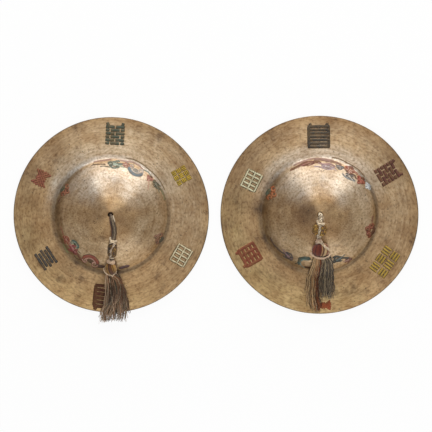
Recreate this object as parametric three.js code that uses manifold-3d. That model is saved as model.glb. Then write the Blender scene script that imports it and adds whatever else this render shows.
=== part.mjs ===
// Pair of hand cymbals with domed bosses, lying dome up side by side.
// Millimetres, +Z up. The origin is between the two cymbals, on the surface they lie on.
import * as THREE from 'three';
import { mergeVertices } from 'three/addons/utils/BufferGeometryUtils.js';
import Module from 'manifold-3d';

// Bronze plates
const rimGap = 17.5;            // between the two rims
const wall = 1.6;               // bronze thickness
const crownHeight = 52;         // top of the dome above the surface
const crownSlope = 8;           // degrees, at the hole
const crownHandle = 34;         // how far the flat crown carries on
const flankSlope = 62;          // degrees, where the dome meets its foot
const flankHandle = 30;         // how far the steep flank carries on
const footFillet = 5;           // inside radius between dome and rim
const seatWidth = 8;            // flat ring on which the cymbal rests
const rimLift = 4.5;            // the edge stands this far above the seat
const holeDiameter = 8.5;

// Thong end inside the dome
const clearance = 0.3;          // between pieces that touch
const layGap = 0.55;            // between the bronze and what lies on it
const shoulderReach = 4;        // a thick piece holds the line up this far beside it
const washerDiameter = 28;
const washerThickness = 2;
const neckDiameter = 7.8;
const knotRadius = 5.2;
const knotStrand = 2.2;         // radius of the knotted strand
const tailLength = 13;
const tailStrand = 1.9;         // radius of each tail
const tailApart = 3.9;          // each tail's distance from the middle
const tailTwist = 0.35;         // radians round the hole

// How far the pieces may turn, which shapes the ends beside the bare neck
const foldAngle = 75;           // degrees, tassel against sleeve

// Handle and tassel
const gatheredShare = 0.84;     // width of a wrapped piece's drawn-in end, of its full width
const boundShare = 0.64;        // width of the skirt's tied top, of its loose width

// What differs between the two cymbals. A route point is [sideways, outwards] from the hole.
const leftCymbal = {
  side: 'left',
  rimDiameter: 298,
  bossDiameter: 178,
  cordRadius: 3,
  cordLength: 72.5,
  hitchLength: 6,
  hitchWidth: 10.5,
  hitchHeight: 9.6,
  sleeveLength: 24,
  sleeveWidth: 14,
  sleeveHeight: 10.4,
  collarLength: 8,
  collarWidth: 13.7,
  collarHeight: 11,
  headLength: 21.5,
  headWidth: 17.5,
  headHeight: 16,
  ringThickness: 2.6,
  skirtLength: 79,
  skirtTopWidth: 17,
  skirtTopHeight: 13,
  skirtEndWidth: 41,
  skirtEndHeight: 6,
  cordColour: 0x8b7a66,
  sleeveColour: 0x8f7a45,
  headColour: 0x8c7440,
  skirtColour: 0x76685c,
  route: [
    [0, 0], [1.2, 5], [2.8, 11], [4.6, 17], [5.6, 23], [5.4, 29], [4.4, 35], [3.4, 41],
    [2.8, 47], [2.4, 54], [2.1, 60], [1.4, 66], [0, 72], [-1.2, 79], [-1.6, 87], [-0.8, 96],
    [1.2, 110], [3, 123], [4, 136], [4.3, 150], [4.4, 164],
  ],
};
const rightCymbal = {
  side: 'right',
  rimDiameter: 302,
  bossDiameter: 180,
  cordRadius: 3,
  cordLength: 36,
  hitchLength: 3.2,
  hitchWidth: 11,
  hitchHeight: 9.6,
  sleeveLength: 17,
  sleeveWidth: 21,
  sleeveHeight: 12,
  collarLength: 8.6,
  collarWidth: 11.5,
  collarHeight: 9.6,
  headLength: 19.5,
  headWidth: 27,
  headHeight: 16,
  ringThickness: 3,
  skirtLength: 98,
  skirtTopWidth: 26,
  skirtTopHeight: 14,
  skirtEndWidth: 35,
  skirtEndHeight: 6,
  cordColour: 0xd8d0c0,
  sleeveColour: 0xb08d4c,
  headColour: 0x8a5a40,
  skirtColour: 0x857360,
  route: [
    [0, 0], [0.4, 5], [0.3, 10], [-0.3, 16], [-0.9, 22], [-1.5, 28], [-2, 34], [-2, 40],
    [-1, 46], [0.2, 53], [0.3, 60], [-0.2, 67], [-0.8, 75], [-1.3, 83], [-1.7, 93],
    [-2, 104], [-2.2, 115], [-2.4, 127], [-2.5, 139], [-2.5, 153],
  ],
};

const overallWidth = leftCymbal.rimDiameter + rimGap + rightCymbal.rimDiameter;
leftCymbal.centreX = (leftCymbal.rimDiameter - overallWidth) / 2;
rightCymbal.centreX = (overallWidth - rightCymbal.rimDiameter) / 2;

const up = new THREE.Vector3(0, 0, 1);
const radians = THREE.MathUtils.degToRad;
const wasm = await Module();
wasm.setup();

const bronze = { colour: 0xb08a5c, roughness: 0.38, metalness: 1 };
const leather = { colour: 0x6a4a30, roughness: 0.8, metalness: 0 };
const cotton = { colour: 0xe4dccb, roughness: 0.95, metalness: 0 };

function textile(colour) {
  return { colour, roughness: 0.95, metalness: 0 };
}

// Closed meshes

function bare(geometry) {
  const copy = geometry.clone();
  copy.deleteAttribute('normal');
  copy.deleteAttribute('uv');
  const merged = mergeVertices(copy, 1e-4);
  const index = [];
  const source = merged.index.array;
  for (let i = 0; i < source.length; i += 3) {
    const [a, b, c] = [source[i], source[i + 1], source[i + 2]];
    if (a !== b && b !== c && c !== a) index.push(a, b, c);
  }
  merged.setIndex(index);
  if (signedVolume(merged) < 0) merged.setIndex(index.reverse());
  return merged;
}

function signedVolume(geometry) {
  const corner = [new THREE.Vector3(), new THREE.Vector3(), new THREE.Vector3()];
  let sum = 0;
  for (let i = 0; i < geometry.index.count; i += 3) {
    for (let k = 0; k < 3; k += 1) {
      corner[k].fromBufferAttribute(geometry.attributes.position, geometry.index.array[i + k]);
    }
    sum += corner[0].dot(corner[1].clone().cross(corner[2])) / 6;
  }
  return sum;
}

function asSolid(geometry) {
  const closed = bare(geometry);
  return new wasm.Manifold(new wasm.Mesh({
    numProp: 3,
    vertProperties: new Float32Array(closed.attributes.position.array),
    triVerts: new Uint32Array(closed.index.array),
  }));
}

function asGeometry(solid) {
  const mesh = solid.getMesh();
  const geometry = new THREE.BufferGeometry();
  geometry.setAttribute('position', new THREE.BufferAttribute(new Float32Array(mesh.vertProperties), 3));
  geometry.setIndex(Array.from(mesh.triVerts));
  return geometry;
}

// Plate section: radius against height, top face, from the hole to the edge

function plateSection(cymbal) {
  const rimRadius = cymbal.rimDiameter / 2;
  const bossRadius = cymbal.bossDiameter / 2;
  const seatEdge = bossRadius + seatWidth;
  const flank = radians(flankSlope);
  const edgeSlope = Math.atan(2 * rimLift / (rimRadius - seatEdge));
  const edgeStart = rimRadius - wall / 2 * (1 + Math.sin(edgeSlope));
  const crownTop = new THREE.Vector2(holeDiameter / 2, crownHeight);
  const footTop = new THREE.Vector2(
    bossRadius - footFillet * Math.sin(flank),
    wall + footFillet * (1 - Math.cos(flank)),
  );
  const crown = new THREE.CubicBezierCurve(
    crownTop,
    crownTop.clone().add(directionDown(crownSlope).multiplyScalar(crownHandle)),
    footTop.clone().sub(directionDown(flankSlope).multiplyScalar(flankHandle)),
    footTop,
  );
  const foot = new THREE.EllipseCurve(
    bossRadius, wall + footFillet, footFillet, footFillet, 1.5 * Math.PI - flank, 1.5 * Math.PI,
  );
  const seat = new THREE.LineCurve(
    new THREE.Vector2(bossRadius, wall), new THREE.Vector2(seatEdge, wall),
  );
  const rim = new THREE.QuadraticBezierCurve(
    new THREE.Vector2(seatEdge, wall),
    new THREE.Vector2((seatEdge + edgeStart) / 2, wall),
    new THREE.Vector2(edgeStart, wall + rimLift),
  );
  return [crown, foot, seat, rim];
}

function directionDown(degrees) {
  return new THREE.Vector2(Math.cos(radians(degrees)), -Math.sin(radians(degrees)));
}

// Points of the section with the direction that faces away from the bronze
function facePoints(section, steps) {
  const points = [];
  section.forEach((curve, part) => {
    for (let i = part ? 1 : 0; i <= steps[part]; i += 1) {
      const along = curve.getTangent(i / steps[part]);
      const point = curve.getPoint(i / steps[part]);
      points.push({ point, away: new THREE.Vector2(-along.y, along.x) });
    }
  });
  return points;
}

function below(face, depth) {
  return face.point.clone().addScaledVector(face.away, -depth);
}

function turned(profile, sides) {
  const geometry = new THREE.LatheGeometry(profile, sides);
  return geometry.rotateX(Math.PI / 2);
}

function plate(cymbal) {
  const face = facePoints(plateSection(cymbal), [8, 3, 1, 4]);
  const top = face.map((entry) => entry.point);
  const underside = face.map((entry) => below(entry, wall)).reverse();
  underside[underside.length - 1].x = holeDiameter / 2;
  const last = face[face.length - 1];
  const middle = below(last, wall / 2);
  const edge = [60, 0, -60].map((degrees) => middle.clone().add(
    last.away.clone().multiplyScalar(wall / 2).rotateAround(new THREE.Vector2(), radians(degrees - 90)),
  ));
  return turned([...top, ...edge, ...underside, top[0]], 56);
}

// A finely sampled section answers where the bronze is under a given radius
function groundOf(cymbal) {
  const face = facePoints(plateSection(cymbal), [160, 24, 8, 80]);
  const cover = { point: new THREE.Vector2(0, crownHeight), away: new THREE.Vector2(0, 1) };
  return [cover, ...face];
}

function faceAt(ground, radius) {
  const next = Math.max(1, ground.findIndex((entry) => entry.point.x >= radius));
  const before = ground[next - 1];
  const after = ground[next];
  const share = (radius - before.point.x) / (after.point.x - before.point.x);
  return {
    point: before.point.clone().lerp(after.point, share),
    away: before.away.clone().lerp(after.away, share).normalize(),
  };
}

// Height of the middle of something round and this thick that lies on the bronze
function lyingHeight(cymbal, ground, outwards, halfThickness) {
  const reach = halfThickness + layGap;
  const held = Math.min(outwards, cymbal.rimDiameter / 2 - wall);
  let height = 0;
  for (const { point } of ground) {
    const across = Math.abs(point.x - held);
    if (across < reach) height = Math.max(height, point.y + Math.sqrt(reach * reach - across * across));
  }
  return height;
}

// Line along which thong and tassel lie, from the swing axis outwards

function layLine(cymbal) {
  const ground = groundOf(cymbal);
  const points = [];
  let along = 0;
  for (const [sideways, outwards] of cymbal.route) {
    const point = new THREE.Vector3(sideways, -outwards, swingHeight(cymbal));
    const before = points[points.length - 1] ?? point;
    for (let pass = 0; pass < 3 && before !== point; pass += 1) {
      const here = along + point.distanceTo(before);
      const nearby = [-shoulderReach, 0, shoulderReach].map((step) => Math.max(0, here + step));
      const half = Math.max(...nearby.map((distance) => halfThickness(cymbal, distance)));
      point.z = lyingHeight(cymbal, ground, outwards, half);
    }
    along += point.distanceTo(before);
    points.push(point);
  }
  const curve = new THREE.CatmullRomCurve3(points, false, 'centripetal');
  curve.arcLengthDivisions = 400;
  const length = curve.getLength();
  return {
    at(distance) {
      const share = Math.min(Math.max(distance / length, 0), 1);
      const tangent = curve.getTangentAt(share);
      const normal = up.clone().addScaledVector(tangent, -up.dot(tangent)).normalize();
      const across = new THREE.Vector3().crossVectors(normal, tangent);
      return { point: curve.getPointAt(share), normal, across };
    },
  };
}

// Half thickness of what lies at each distance along the line
function halfThickness(cymbal, along) {
  const sleeveAt = sleeveEnds(cymbal);
  const tassel = tasselStations(cymbal);
  const hitchStart = sleeveAt.start - clearance - cymbal.hitchLength;
  const shoulder = skirtShoulder(cymbal);
  const keys = [
    [0, cymbal.cordRadius * 2],
    [hitchStart - 2 * cymbal.cordRadius, cymbal.cordRadius * 2],
    [hitchStart, cymbal.hitchHeight],
    [sleeveAt.start, cymbal.sleeveHeight],
    [sleeveAt.end, cymbal.sleeveHeight],
    [tassel.collarStart, cymbal.collarHeight],
    [tassel.collarEnd, cymbal.collarHeight],
    [tassel.headStart + cymbal.headLength / 4, cymbal.headHeight],
    [tassel.headEnd - cymbal.headLength / 4, cymbal.headHeight],
    [tassel.skirtStart + shoulder, cymbal.skirtTopHeight],
    [tassel.skirtStart + cymbal.skirtLength, cymbal.skirtEndHeight],
  ];
  const next = keys.findIndex(([distance]) => distance > along);
  if (next < 0) return cymbal.skirtEndHeight / 2;
  const [from, low] = keys[next - 1];
  const [to, high] = keys[next];
  return THREE.MathUtils.mapLinear(along, from, to, low, high) / 2;
}

function swingHeight(cymbal) {
  return crownHeight + cymbal.cordRadius + clearance;
}

// Lays a straight piece, which was made along +Y, down on the line
function draped(geometry, line) {
  const position = geometry.attributes.position;
  for (let i = 0; i < position.count; i += 1) {
    const { point, normal, across } = line.at(position.getY(i));
    point.addScaledVector(across, position.getX(i)).addScaledVector(normal, position.getZ(i));
    position.setXYZ(i, point.x, point.y, point.z);
  }
  return geometry;
}

// A piece turned along +Y, and then flattened: profile points are [half width, distance]
function flattened(profile, heightShare, sides = 16) {
  const points = profile.map(([radius, distance]) => new THREE.Vector2(radius, distance));
  const geometry = new THREE.LatheGeometry(points, sides);
  return geometry.scale(1, 1, heightShare);
}

function cordTube(cymbal, line, radius, from, to) {
  const steps = Math.ceil((to - from) / (1.6 * cymbal.cordRadius));
  const points = [];
  for (let i = 0; i <= steps; i += 1) {
    points.push(line.at(from + (to - from) * i / steps).point);
  }
  const section = new THREE.Shape();
  const sides = 8;
  for (let i = 0; i <= sides; i += 1) {
    const angle = 2 * Math.PI * i / sides;
    if (i) section.lineTo(radius * Math.cos(angle), radius * Math.sin(angle));
    else section.moveTo(radius, 0);
  }
  const path = new THREE.CatmullRomCurve3(points);
  return new THREE.ExtrudeGeometry(section, { steps, bevelEnabled: false, extrudePath: path });
}

// Pieces inside the dome

function washer(cymbal) {
  const ground = groundOf(cymbal);
  const bore = neckDiameter / 2 + clearance;
  const radii = [0, 1 / 3, 2 / 3, 1].map((share) => bore + share * (washerDiameter / 2 - bore));
  const upper = radii.map((radius) => below(faceAt(ground, radius), wall + clearance));
  const lower = radii.map((radius) => below(faceAt(ground, radius), wall + clearance + washerThickness));
  upper[0].x = bore;
  lower[0].x = bore;
  return turned([...upper, ...lower.reverse(), upper[0]], 24);
}

function knotTop(cymbal) {
  const underWasher = below(faceAt(groundOf(cymbal), 1.5 * knotRadius), wall + clearance + washerThickness);
  return underWasher.y - clearance;
}

// The end of the cord is tied in an overhand knot, and its two tails hang out of it
function stopKnot(cymbal) {
  const middle = knotTop(cymbal) - knotRadius / 2 - knotStrand;
  const knot = new THREE.TorusKnotGeometry(knotRadius, knotStrand, 36, 6, 2, 3);
  knot.translate(0, 0, middle);
  let solid = asSolid(knot);
  for (const lean of [-1, 1]) {
    const tail = new THREE.CapsuleGeometry(tailStrand, tailLength, 2, 6, 1);
    tail.rotateX(Math.PI / 2);
    tail.translate(lean * tailApart, 0, middle - tailLength / 2);
    tail.rotateZ(lean * tailTwist);
    solid = solid.add(asSolid(tail));
  }
  return asGeometry(solid);
}

function neck(cymbal) {
  const bottom = knotTop(cymbal) + clearance;
  const geometry = new THREE.CylinderGeometry(neckDiameter / 2, neckDiameter / 2, crownHeight - bottom, 16);
  geometry.rotateX(Math.PI / 2);
  return geometry.translate(0, 0, (crownHeight + bottom) / 2);
}

// Pieces of the handle

function cord(cymbal, line) {
  let solid = asSolid(cordTube(cymbal, line, cymbal.cordRadius, 0, cymbal.cordLength));
  for (const end of [0, cymbal.cordLength]) {
    const ball = new THREE.SphereGeometry(cymbal.cordRadius, 10, 6);
    const { x, y, z } = line.at(end).point;
    solid = solid.add(asSolid(ball.translate(x, y, z)));
  }
  return asGeometry(solid);
}

function bored(geometry, cymbal, line) {
  const hole = cordTube(cymbal, line, cymbal.cordRadius + clearance, 0, cymbal.cordLength);
  return asGeometry(asSolid(geometry).subtract(asSolid(hole)));
}

// Largest half thickness that a piece may have at a distance from the fold axis
function foldRoom(distance) {
  return distance * Math.tan(radians(90 - foldAngle / 2)) - clearance;
}

function sleeveEnds(cymbal) {
  const end = cymbal.cordLength - cymbal.cordRadius - 2 * clearance;
  return { start: end - cymbal.sleeveLength, end };
}

function sleeve(cymbal, line) {
  const { start, end } = sleeveEnds(cymbal);
  const heightShare = cymbal.sleeveHeight / cymbal.sleeveWidth;
  const half = cymbal.sleeveWidth / 2;
  const gathered = gatheredShare * half;
  const tip = Math.min(foldRoom(cymbal.cordLength - end) / heightShare, gathered);
  const taper = cymbal.sleeveLength / 6;
  const profile = [
    [0, start], [gathered, start], [half, start + taper], [half, end - taper], [tip, end], [0, end],
  ];
  return bored(draped(flattened(profile, heightShare), line), cymbal, line);
}

function hitch(cymbal, line) {
  const end = sleeveEnds(cymbal).start - clearance;
  const start = end - cymbal.hitchLength;
  const half = cymbal.hitchWidth / 2;
  const round = cymbal.hitchLength / 4;
  const profile = [
    [0, start], [half - round, start], [half, start + round],
    [half, end - round], [half - round, end], [0, end],
  ];
  const geometry = flattened(profile, cymbal.hitchHeight / cymbal.hitchWidth);
  return bored(draped(geometry, line), cymbal, line);
}

// Pieces of the tassel

function tasselStations(cymbal) {
  const collarStart = cymbal.cordLength + cymbal.cordRadius + clearance;
  const collarEnd = collarStart + cymbal.collarLength;
  const headStart = collarEnd + clearance;
  const headEnd = headStart + cymbal.headLength;
  const skirtStart = headEnd + clearance;
  return { collarStart, collarEnd, headStart, headEnd, skirtStart };
}

function collar(cymbal, line) {
  const { collarStart, collarEnd } = tasselStations(cymbal);
  const heightShare = cymbal.collarHeight / cymbal.collarWidth;
  const half = cymbal.collarWidth / 2;
  const gathered = gatheredShare * half;
  const tip = Math.min(foldRoom(collarStart - cymbal.cordLength) / heightShare, gathered);
  const taper = cymbal.collarLength / 3;
  const profile = [
    [0, collarStart], [tip, collarStart], [half, collarStart + taper],
    [half, collarEnd - taper / 2], [gathered, collarEnd], [0, collarEnd],
  ];
  return draped(flattened(profile, heightShare), line);
}

function head(cymbal, line) {
  const { headStart, headEnd } = tasselStations(cymbal);
  const steps = 9;
  const profile = [];
  for (let i = 0; i <= steps; i += 1) {
    const angle = Math.PI * i / steps;
    const radius = i % steps ? Math.sin(angle) * cymbal.headWidth / 2 : 0;
    profile.push([radius, (headStart + headEnd - Math.cos(angle) * cymbal.headLength) / 2]);
  }
  return draped(flattened(profile, cymbal.headHeight / cymbal.headWidth, 20), line);
}

// The skirt starts with a tight bound top, round which the ring lies
function boundTop(cymbal) {
  return boundShare * cymbal.skirtTopWidth / 2;
}

function ring(cymbal, line) {
  const { skirtStart } = tasselStations(cymbal);
  const tube = cymbal.ringThickness / 2;
  const heightShare = cymbal.skirtTopHeight / cymbal.skirtTopWidth;
  const roomy = clearance / heightShare;
  const geometry = new THREE.TorusGeometry(boundTop(cymbal) + roomy + tube, tube, 6, 20);
  geometry.rotateX(Math.PI / 2);
  geometry.scale(1, 1, heightShare);
  geometry.translate(0, skirtStart + tube, 0);
  return draped(geometry, line);
}

function skirtShoulder(cymbal) {
  return cymbal.ringThickness + 5 * clearance;
}

function skirt(cymbal, line) {
  const { skirtStart } = tasselStations(cymbal);
  const bound = boundTop(cymbal);
  const shoulder = skirtShoulder(cymbal);
  const end = skirtStart + cymbal.skirtLength;
  const steps = 7;
  const points = [new THREE.Vector2(0, skirtStart), new THREE.Vector2(bound, skirtStart)];
  points.push(new THREE.Vector2(bound, skirtStart + cymbal.ringThickness + clearance));
  for (let i = 0; i <= steps; i += 1) {
    points.push(new THREE.Vector2(1, skirtStart + shoulder + (cymbal.skirtLength - shoulder) * i / steps));
  }
  points.push(new THREE.Vector2(0, end));
  const geometry = new THREE.LatheGeometry(points, 20);
  const position = geometry.attributes.position;
  const topShare = cymbal.skirtTopHeight / cymbal.skirtTopWidth;
  for (let i = 0; i < position.count; i += 1) {
    const along = position.getY(i) - skirtStart;
    const share = Math.max(0, (along - shoulder) / (cymbal.skirtLength - shoulder));
    const loose = along > shoulder - 0.01;
    const halfWidth = THREE.MathUtils.lerp(cymbal.skirtTopWidth, cymbal.skirtEndWidth, share) / 2;
    const halfHeight = THREE.MathUtils.lerp(cymbal.skirtTopHeight, cymbal.skirtEndHeight, share) / 2;
    position.setX(i, position.getX(i) * (loose ? halfWidth : 1));
    position.setZ(i, position.getZ(i) * (loose ? halfHeight : topShare));
  }
  return draped(geometry, line);
}

// Assembly

function addPiece(group, name, geometry, finish) {
  const material = new THREE.MeshStandardMaterial({
    color: finish.colour, roughness: finish.roughness, metalness: finish.metalness,
  });
  const mesh = new THREE.Mesh(bare(geometry), material);
  mesh.name = name;
  group.add(mesh);
}

function cymbalGroup(cymbal) {
  const group = new THREE.Group();
  const line = layLine(cymbal);
  const add = (name, geometry, finish) => addPiece(group, `${cymbal.side}_${name}`, geometry, finish);
  add('plate', plate(cymbal), bronze);
  add('washer', washer(cymbal), leather);
  add('stop_knot', stopKnot(cymbal), textile(cymbal.cordColour));
  add('neck', neck(cymbal), textile(cymbal.cordColour));
  add('cord', cord(cymbal, line), textile(cymbal.cordColour));
  add('hitch', hitch(cymbal, line), cotton);
  add('sleeve', sleeve(cymbal, line), textile(cymbal.sleeveColour));
  add('collar', collar(cymbal, line), cotton);
  add('tassel_head', head(cymbal, line), textile(cymbal.headColour));
  add('head_ring', ring(cymbal, line), cotton);
  add('tassel_skirt', skirt(cymbal, line), textile(cymbal.skirtColour));
  group.position.x = cymbal.centreX;
  return group;
}

const cymbals = new THREE.Group();
cymbals.add(cymbalGroup(leftCymbal), cymbalGroup(rightCymbal));
export default cymbals;
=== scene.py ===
# Pair of domed ritual cymbals with knotted cords and tassels, laid on a white surface.
# Sizes are in millimetres in the dictionaries, and become metres where a mesh is made.
import math
import random
from functools import partial

import bpy
import numpy as np
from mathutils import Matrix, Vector


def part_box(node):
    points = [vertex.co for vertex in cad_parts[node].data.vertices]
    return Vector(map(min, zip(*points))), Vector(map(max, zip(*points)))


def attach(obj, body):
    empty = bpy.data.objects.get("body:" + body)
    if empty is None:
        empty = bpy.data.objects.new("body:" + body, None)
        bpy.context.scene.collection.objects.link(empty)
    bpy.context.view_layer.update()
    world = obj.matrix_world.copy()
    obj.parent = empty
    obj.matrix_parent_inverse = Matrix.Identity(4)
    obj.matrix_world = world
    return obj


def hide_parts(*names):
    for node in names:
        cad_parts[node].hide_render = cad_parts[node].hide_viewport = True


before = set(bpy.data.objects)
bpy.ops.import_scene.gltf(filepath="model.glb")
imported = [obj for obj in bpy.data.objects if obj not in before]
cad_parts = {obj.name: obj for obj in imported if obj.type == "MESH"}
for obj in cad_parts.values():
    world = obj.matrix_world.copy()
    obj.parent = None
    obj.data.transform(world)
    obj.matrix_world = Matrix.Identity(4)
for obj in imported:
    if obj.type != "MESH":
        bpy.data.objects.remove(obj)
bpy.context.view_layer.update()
print("frame loaded")

mm = 0.001


# small helpers

def linear(colour):
    # takes an sRGB hex colour, or a grey level that is linear already
    if not isinstance(colour, str):
        return (colour, colour, colour, 1)
    channels = [int(colour[i:i + 2], 16) / 255 for i in (1, 3, 5)]
    return (*(c / 12.92 if c <= 0.04045 else ((c + 0.055) / 1.055) ** 2.4 for c in channels), 1)


def addNode(tree, kind, inputs=None, stops=(), **settings):
    # inputs holds plain values, hex colours or output sockets of other nodes; stops are a colour ramp's
    node = tree.nodes.new("ShaderNode" + kind)
    for key, value in settings.items():
        setattr(node, key, value)
    for key, value in (inputs or {}).items():
        if isinstance(value, bpy.types.NodeSocket):
            tree.links.new(value, node.inputs[key])
        else:
            node.inputs[key].default_value = linear(value) if isinstance(value, str) else value
    for _ in stops[2:]:
        node.color_ramp.elements.new(0.5)
    for stop, (place, colour) in enumerate(stops):
        node.color_ramp.elements[stop].position = place
        node.color_ramp.elements[stop].color = linear(colour)
    return node.outputs


def newMaterial(name):
    material = bpy.data.materials.new(name)
    material.use_nodes = True
    material.node_tree.nodes.clear()
    return material, partial(addNode, material.node_tree)


def layered(add, base, layers):
    # lays colours over a base; a layer is its blend, its amount and its colour
    for blend, amount, colour in layers:
        base = add("MixRGB", {0: amount, 1: base, 2: colour}, blend_type=blend)[0]
    return base


def shades(add, *rows):
    # layers that darken: each row is an amount, a pattern and the pattern's colours
    return [("MULTIPLY", amount, add("ValToRGB", {0: pattern}, stops)[0]) for amount, pattern, stops in rows]


def finishMaterial(material, add, surface):
    shader = add("BsdfPrincipled", surface)
    add("OutputMaterial", {"Surface": shader[0]})
    return material


def newObject(name, data):
    made = bpy.data.objects.new(name, data)
    bpy.context.collection.objects.link(made)
    return made


def makeMesh(name, points, faces, material, tints=None):
    mesh = bpy.data.meshes.new(name)
    mesh.from_pydata(points, [], faces)
    mesh.update()
    if tints is not None:
        layer = mesh.color_attributes.new("tint", "FLOAT_COLOR", "POINT")
        layer.data.foreach_set("color", tints.astype(np.float32).ravel())
    mesh.materials.append(material)
    return newObject(name, mesh)


def makePiece(side, name, shapes, material, body, node=None, aside=0.0):
    # joins shapes, which are points in mm, groups of faces and tints, and puts the piece on its body
    faces, start = [], 0
    for shape in shapes:
        for group in shape[1]:
            faces += (group + start).tolist()
        start += len(shape[0])
    points = np.concatenate([shape[0] for shape in shapes]) * mm
    points[:, 0] += aside * mm
    tints = None if shapes[0][2] is None else np.concatenate([shape[2] for shape in shapes])
    piece = makeMesh(side + name, points.tolist(), faces, material, tints)
    piece.data.polygons.foreach_set("use_smooth", [True] * len(faces))
    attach(piece, f"{side}_{body}")
    if node:
        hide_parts(f"{side}_{node}")
    return piece


# shapes: each is its points, groups of faces, and a tint for each point

def unit(rows):
    return rows / np.maximum(np.linalg.norm(rows, axis=1), 1e-9)[:, None]


def directions(path, loop=False):
    return unit(np.roll(path, -1, axis=0) - np.roll(path, 1, axis=0) if loop else np.gradient(path, axis=0))


def circle(steps):
    return np.linspace(0, 2 * math.pi, steps, endpoint=False)


def travelled(path):
    return np.concatenate([[0], np.cumsum(np.linalg.norm(np.diff(path, axis=0), axis=1))])


def readOff(rows, at):
    # the columns of a table, read between the places in its first column
    places, *columns = np.asarray(rows, float).T
    return [np.interp(at, places, column) for column in columns]


def ringFaces(rings, sides, loop=False):
    i, k = np.meshgrid(np.arange(rings if loop else rings - 1), np.arange(sides), indexing="ij")
    ahead, after = (i + 1) % rings, (k + 1) % sides
    return np.stack([i * sides + k, i * sides + after, ahead * sides + after, ahead * sides + k],
                    axis=-1).reshape(-1, 4)


def capFaces(rings, sides):
    # fans to the two middle points, which follow the last ring
    k = np.arange(sides)
    after, first, base = (k + 1) % sides, rings * sides, (rings - 1) * sides
    return np.concatenate([np.stack([np.full(sides, first), after, k], axis=1),
                           np.stack([np.full(sides, first + 1), base + k, base + after], axis=1)])


def tinted(tint, count):
    return np.tile(linear(tint), (count, 1))


def sweep(path, radius, tint, sides=6, flat=1.0, loop=False, lean=(0, 0, 1)):
    # a round or flattened strand along a path in mm, closed by a rounded tip at each end
    radius = np.broadcast_to(radius, len(path))
    tangent = directions(path, loop)
    normal = np.zeros_like(path)
    lean = previous = np.array(lean, float)
    for i, along in enumerate(tangent):
        start = lean if loop else previous      # a loop's frame has to meet itself again
        previous = start - along * start.dot(along)
        size = np.linalg.norm(previous)
        previous = previous / size if size > 1e-6 else np.array([1.0, 0, 0])
        normal[i] = previous
    if not loop:
        path = np.concatenate([path[:1] - tangent[:1] * radius[0] * 0.45, path,
                               path[-1:] + tangent[-1:] * radius[-1] * 0.45])
        tangent, normal = (np.concatenate([v[:1], v, v[-1:]]) for v in (tangent, normal))
        radius = np.concatenate([radius[:1] * 0.72, radius, radius[-1:] * 0.72])
    across = np.cross(normal, tangent)
    angles, wide, rings = circle(sides)[None, :, None], radius[:, None, None], len(path)
    points = (path[:, None] + across[:, None] * np.cos(angles) * wide
              + normal[:, None] * np.sin(angles) * wide * flat).reshape(-1, 3)
    faces = [ringFaces(rings, sides, loop)]
    if not loop:
        points = np.concatenate([points, path[:1] - tangent[:1] * radius[0] * 0.35,
                                 path[-1:] + tangent[-1:] * radius[-1] * 0.35])
        faces.append(capFaces(rings, sides))
    return points, faces, tinted(tint, len(points))


def twisted(path, radius, plies, pitch, tint, sides=7, share=0.56, start=0.0, loop=False):
    # plies laid round each other along a path; pitch is mm for one turn
    steps = np.linalg.norm(np.diff(path, axis=0, append=path[:1] if loop else path[-1:]), axis=1)
    distance = np.concatenate([[0], np.cumsum(steps)[:-1]])
    turns = round(steps.sum() / pitch) * 2 * math.pi / steps.sum() if loop else 2 * math.pi / pitch
    tangent = directions(path, loop)
    normal = unit(np.array([0, 0, 1.0]) - tangent * tangent[:, 2:3])
    across = np.cross(normal, tangent)
    radius = np.broadcast_to(radius, len(path))
    tints = tint if isinstance(tint, list) else [tint]
    shapes = []
    for ply in range(plies):
        angle = (distance * turns + start + ply * 2 * math.pi / plies)[:, None]
        strand = path + (across * np.cos(angle) + normal * np.sin(angle)) * (radius * (1 - share))[:, None]
        shapes.append(sweep(strand, radius * share, tints[ply % len(tints)], sides, loop=loop))
    return shapes


# the bronze plates: the section is the CAD one, sampled finely

plateShape = {
    "wall": 1.6,
    "crownHeight": 52,
    "crownSlope": 8,
    "crownHandle": 34,
    "flankSlope": 62,
    "flankHandle": 30,
    "footFillet": 5,
    "seatWidth": 8,
    "rimLift": 4.5,
    "holeDiameter": 8.5,
    "hammering": 0.16,      # depth of the hammered waves
    "aroundSteps": 288,
}
cymbals = {
    "left": {"rimDiameter": 298, "bossDiameter": 178, "seed": 11, "patternShift": 0.3},
    "right": {"rimDiameter": 302, "bossDiameter": 180, "seed": 23, "patternShift": 1.7},
}


def bezier(points, count):
    t = np.linspace(0, 1, count)[:, None]
    p = [np.array(point, float) for point in points]
    while len(p) > 1:
        p = [a + (b - a) * t for a, b in zip(p, p[1:])]
    return p[0]


def downwards(degrees):
    return np.array([math.cos(math.radians(degrees)), -math.sin(math.radians(degrees))])


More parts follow.
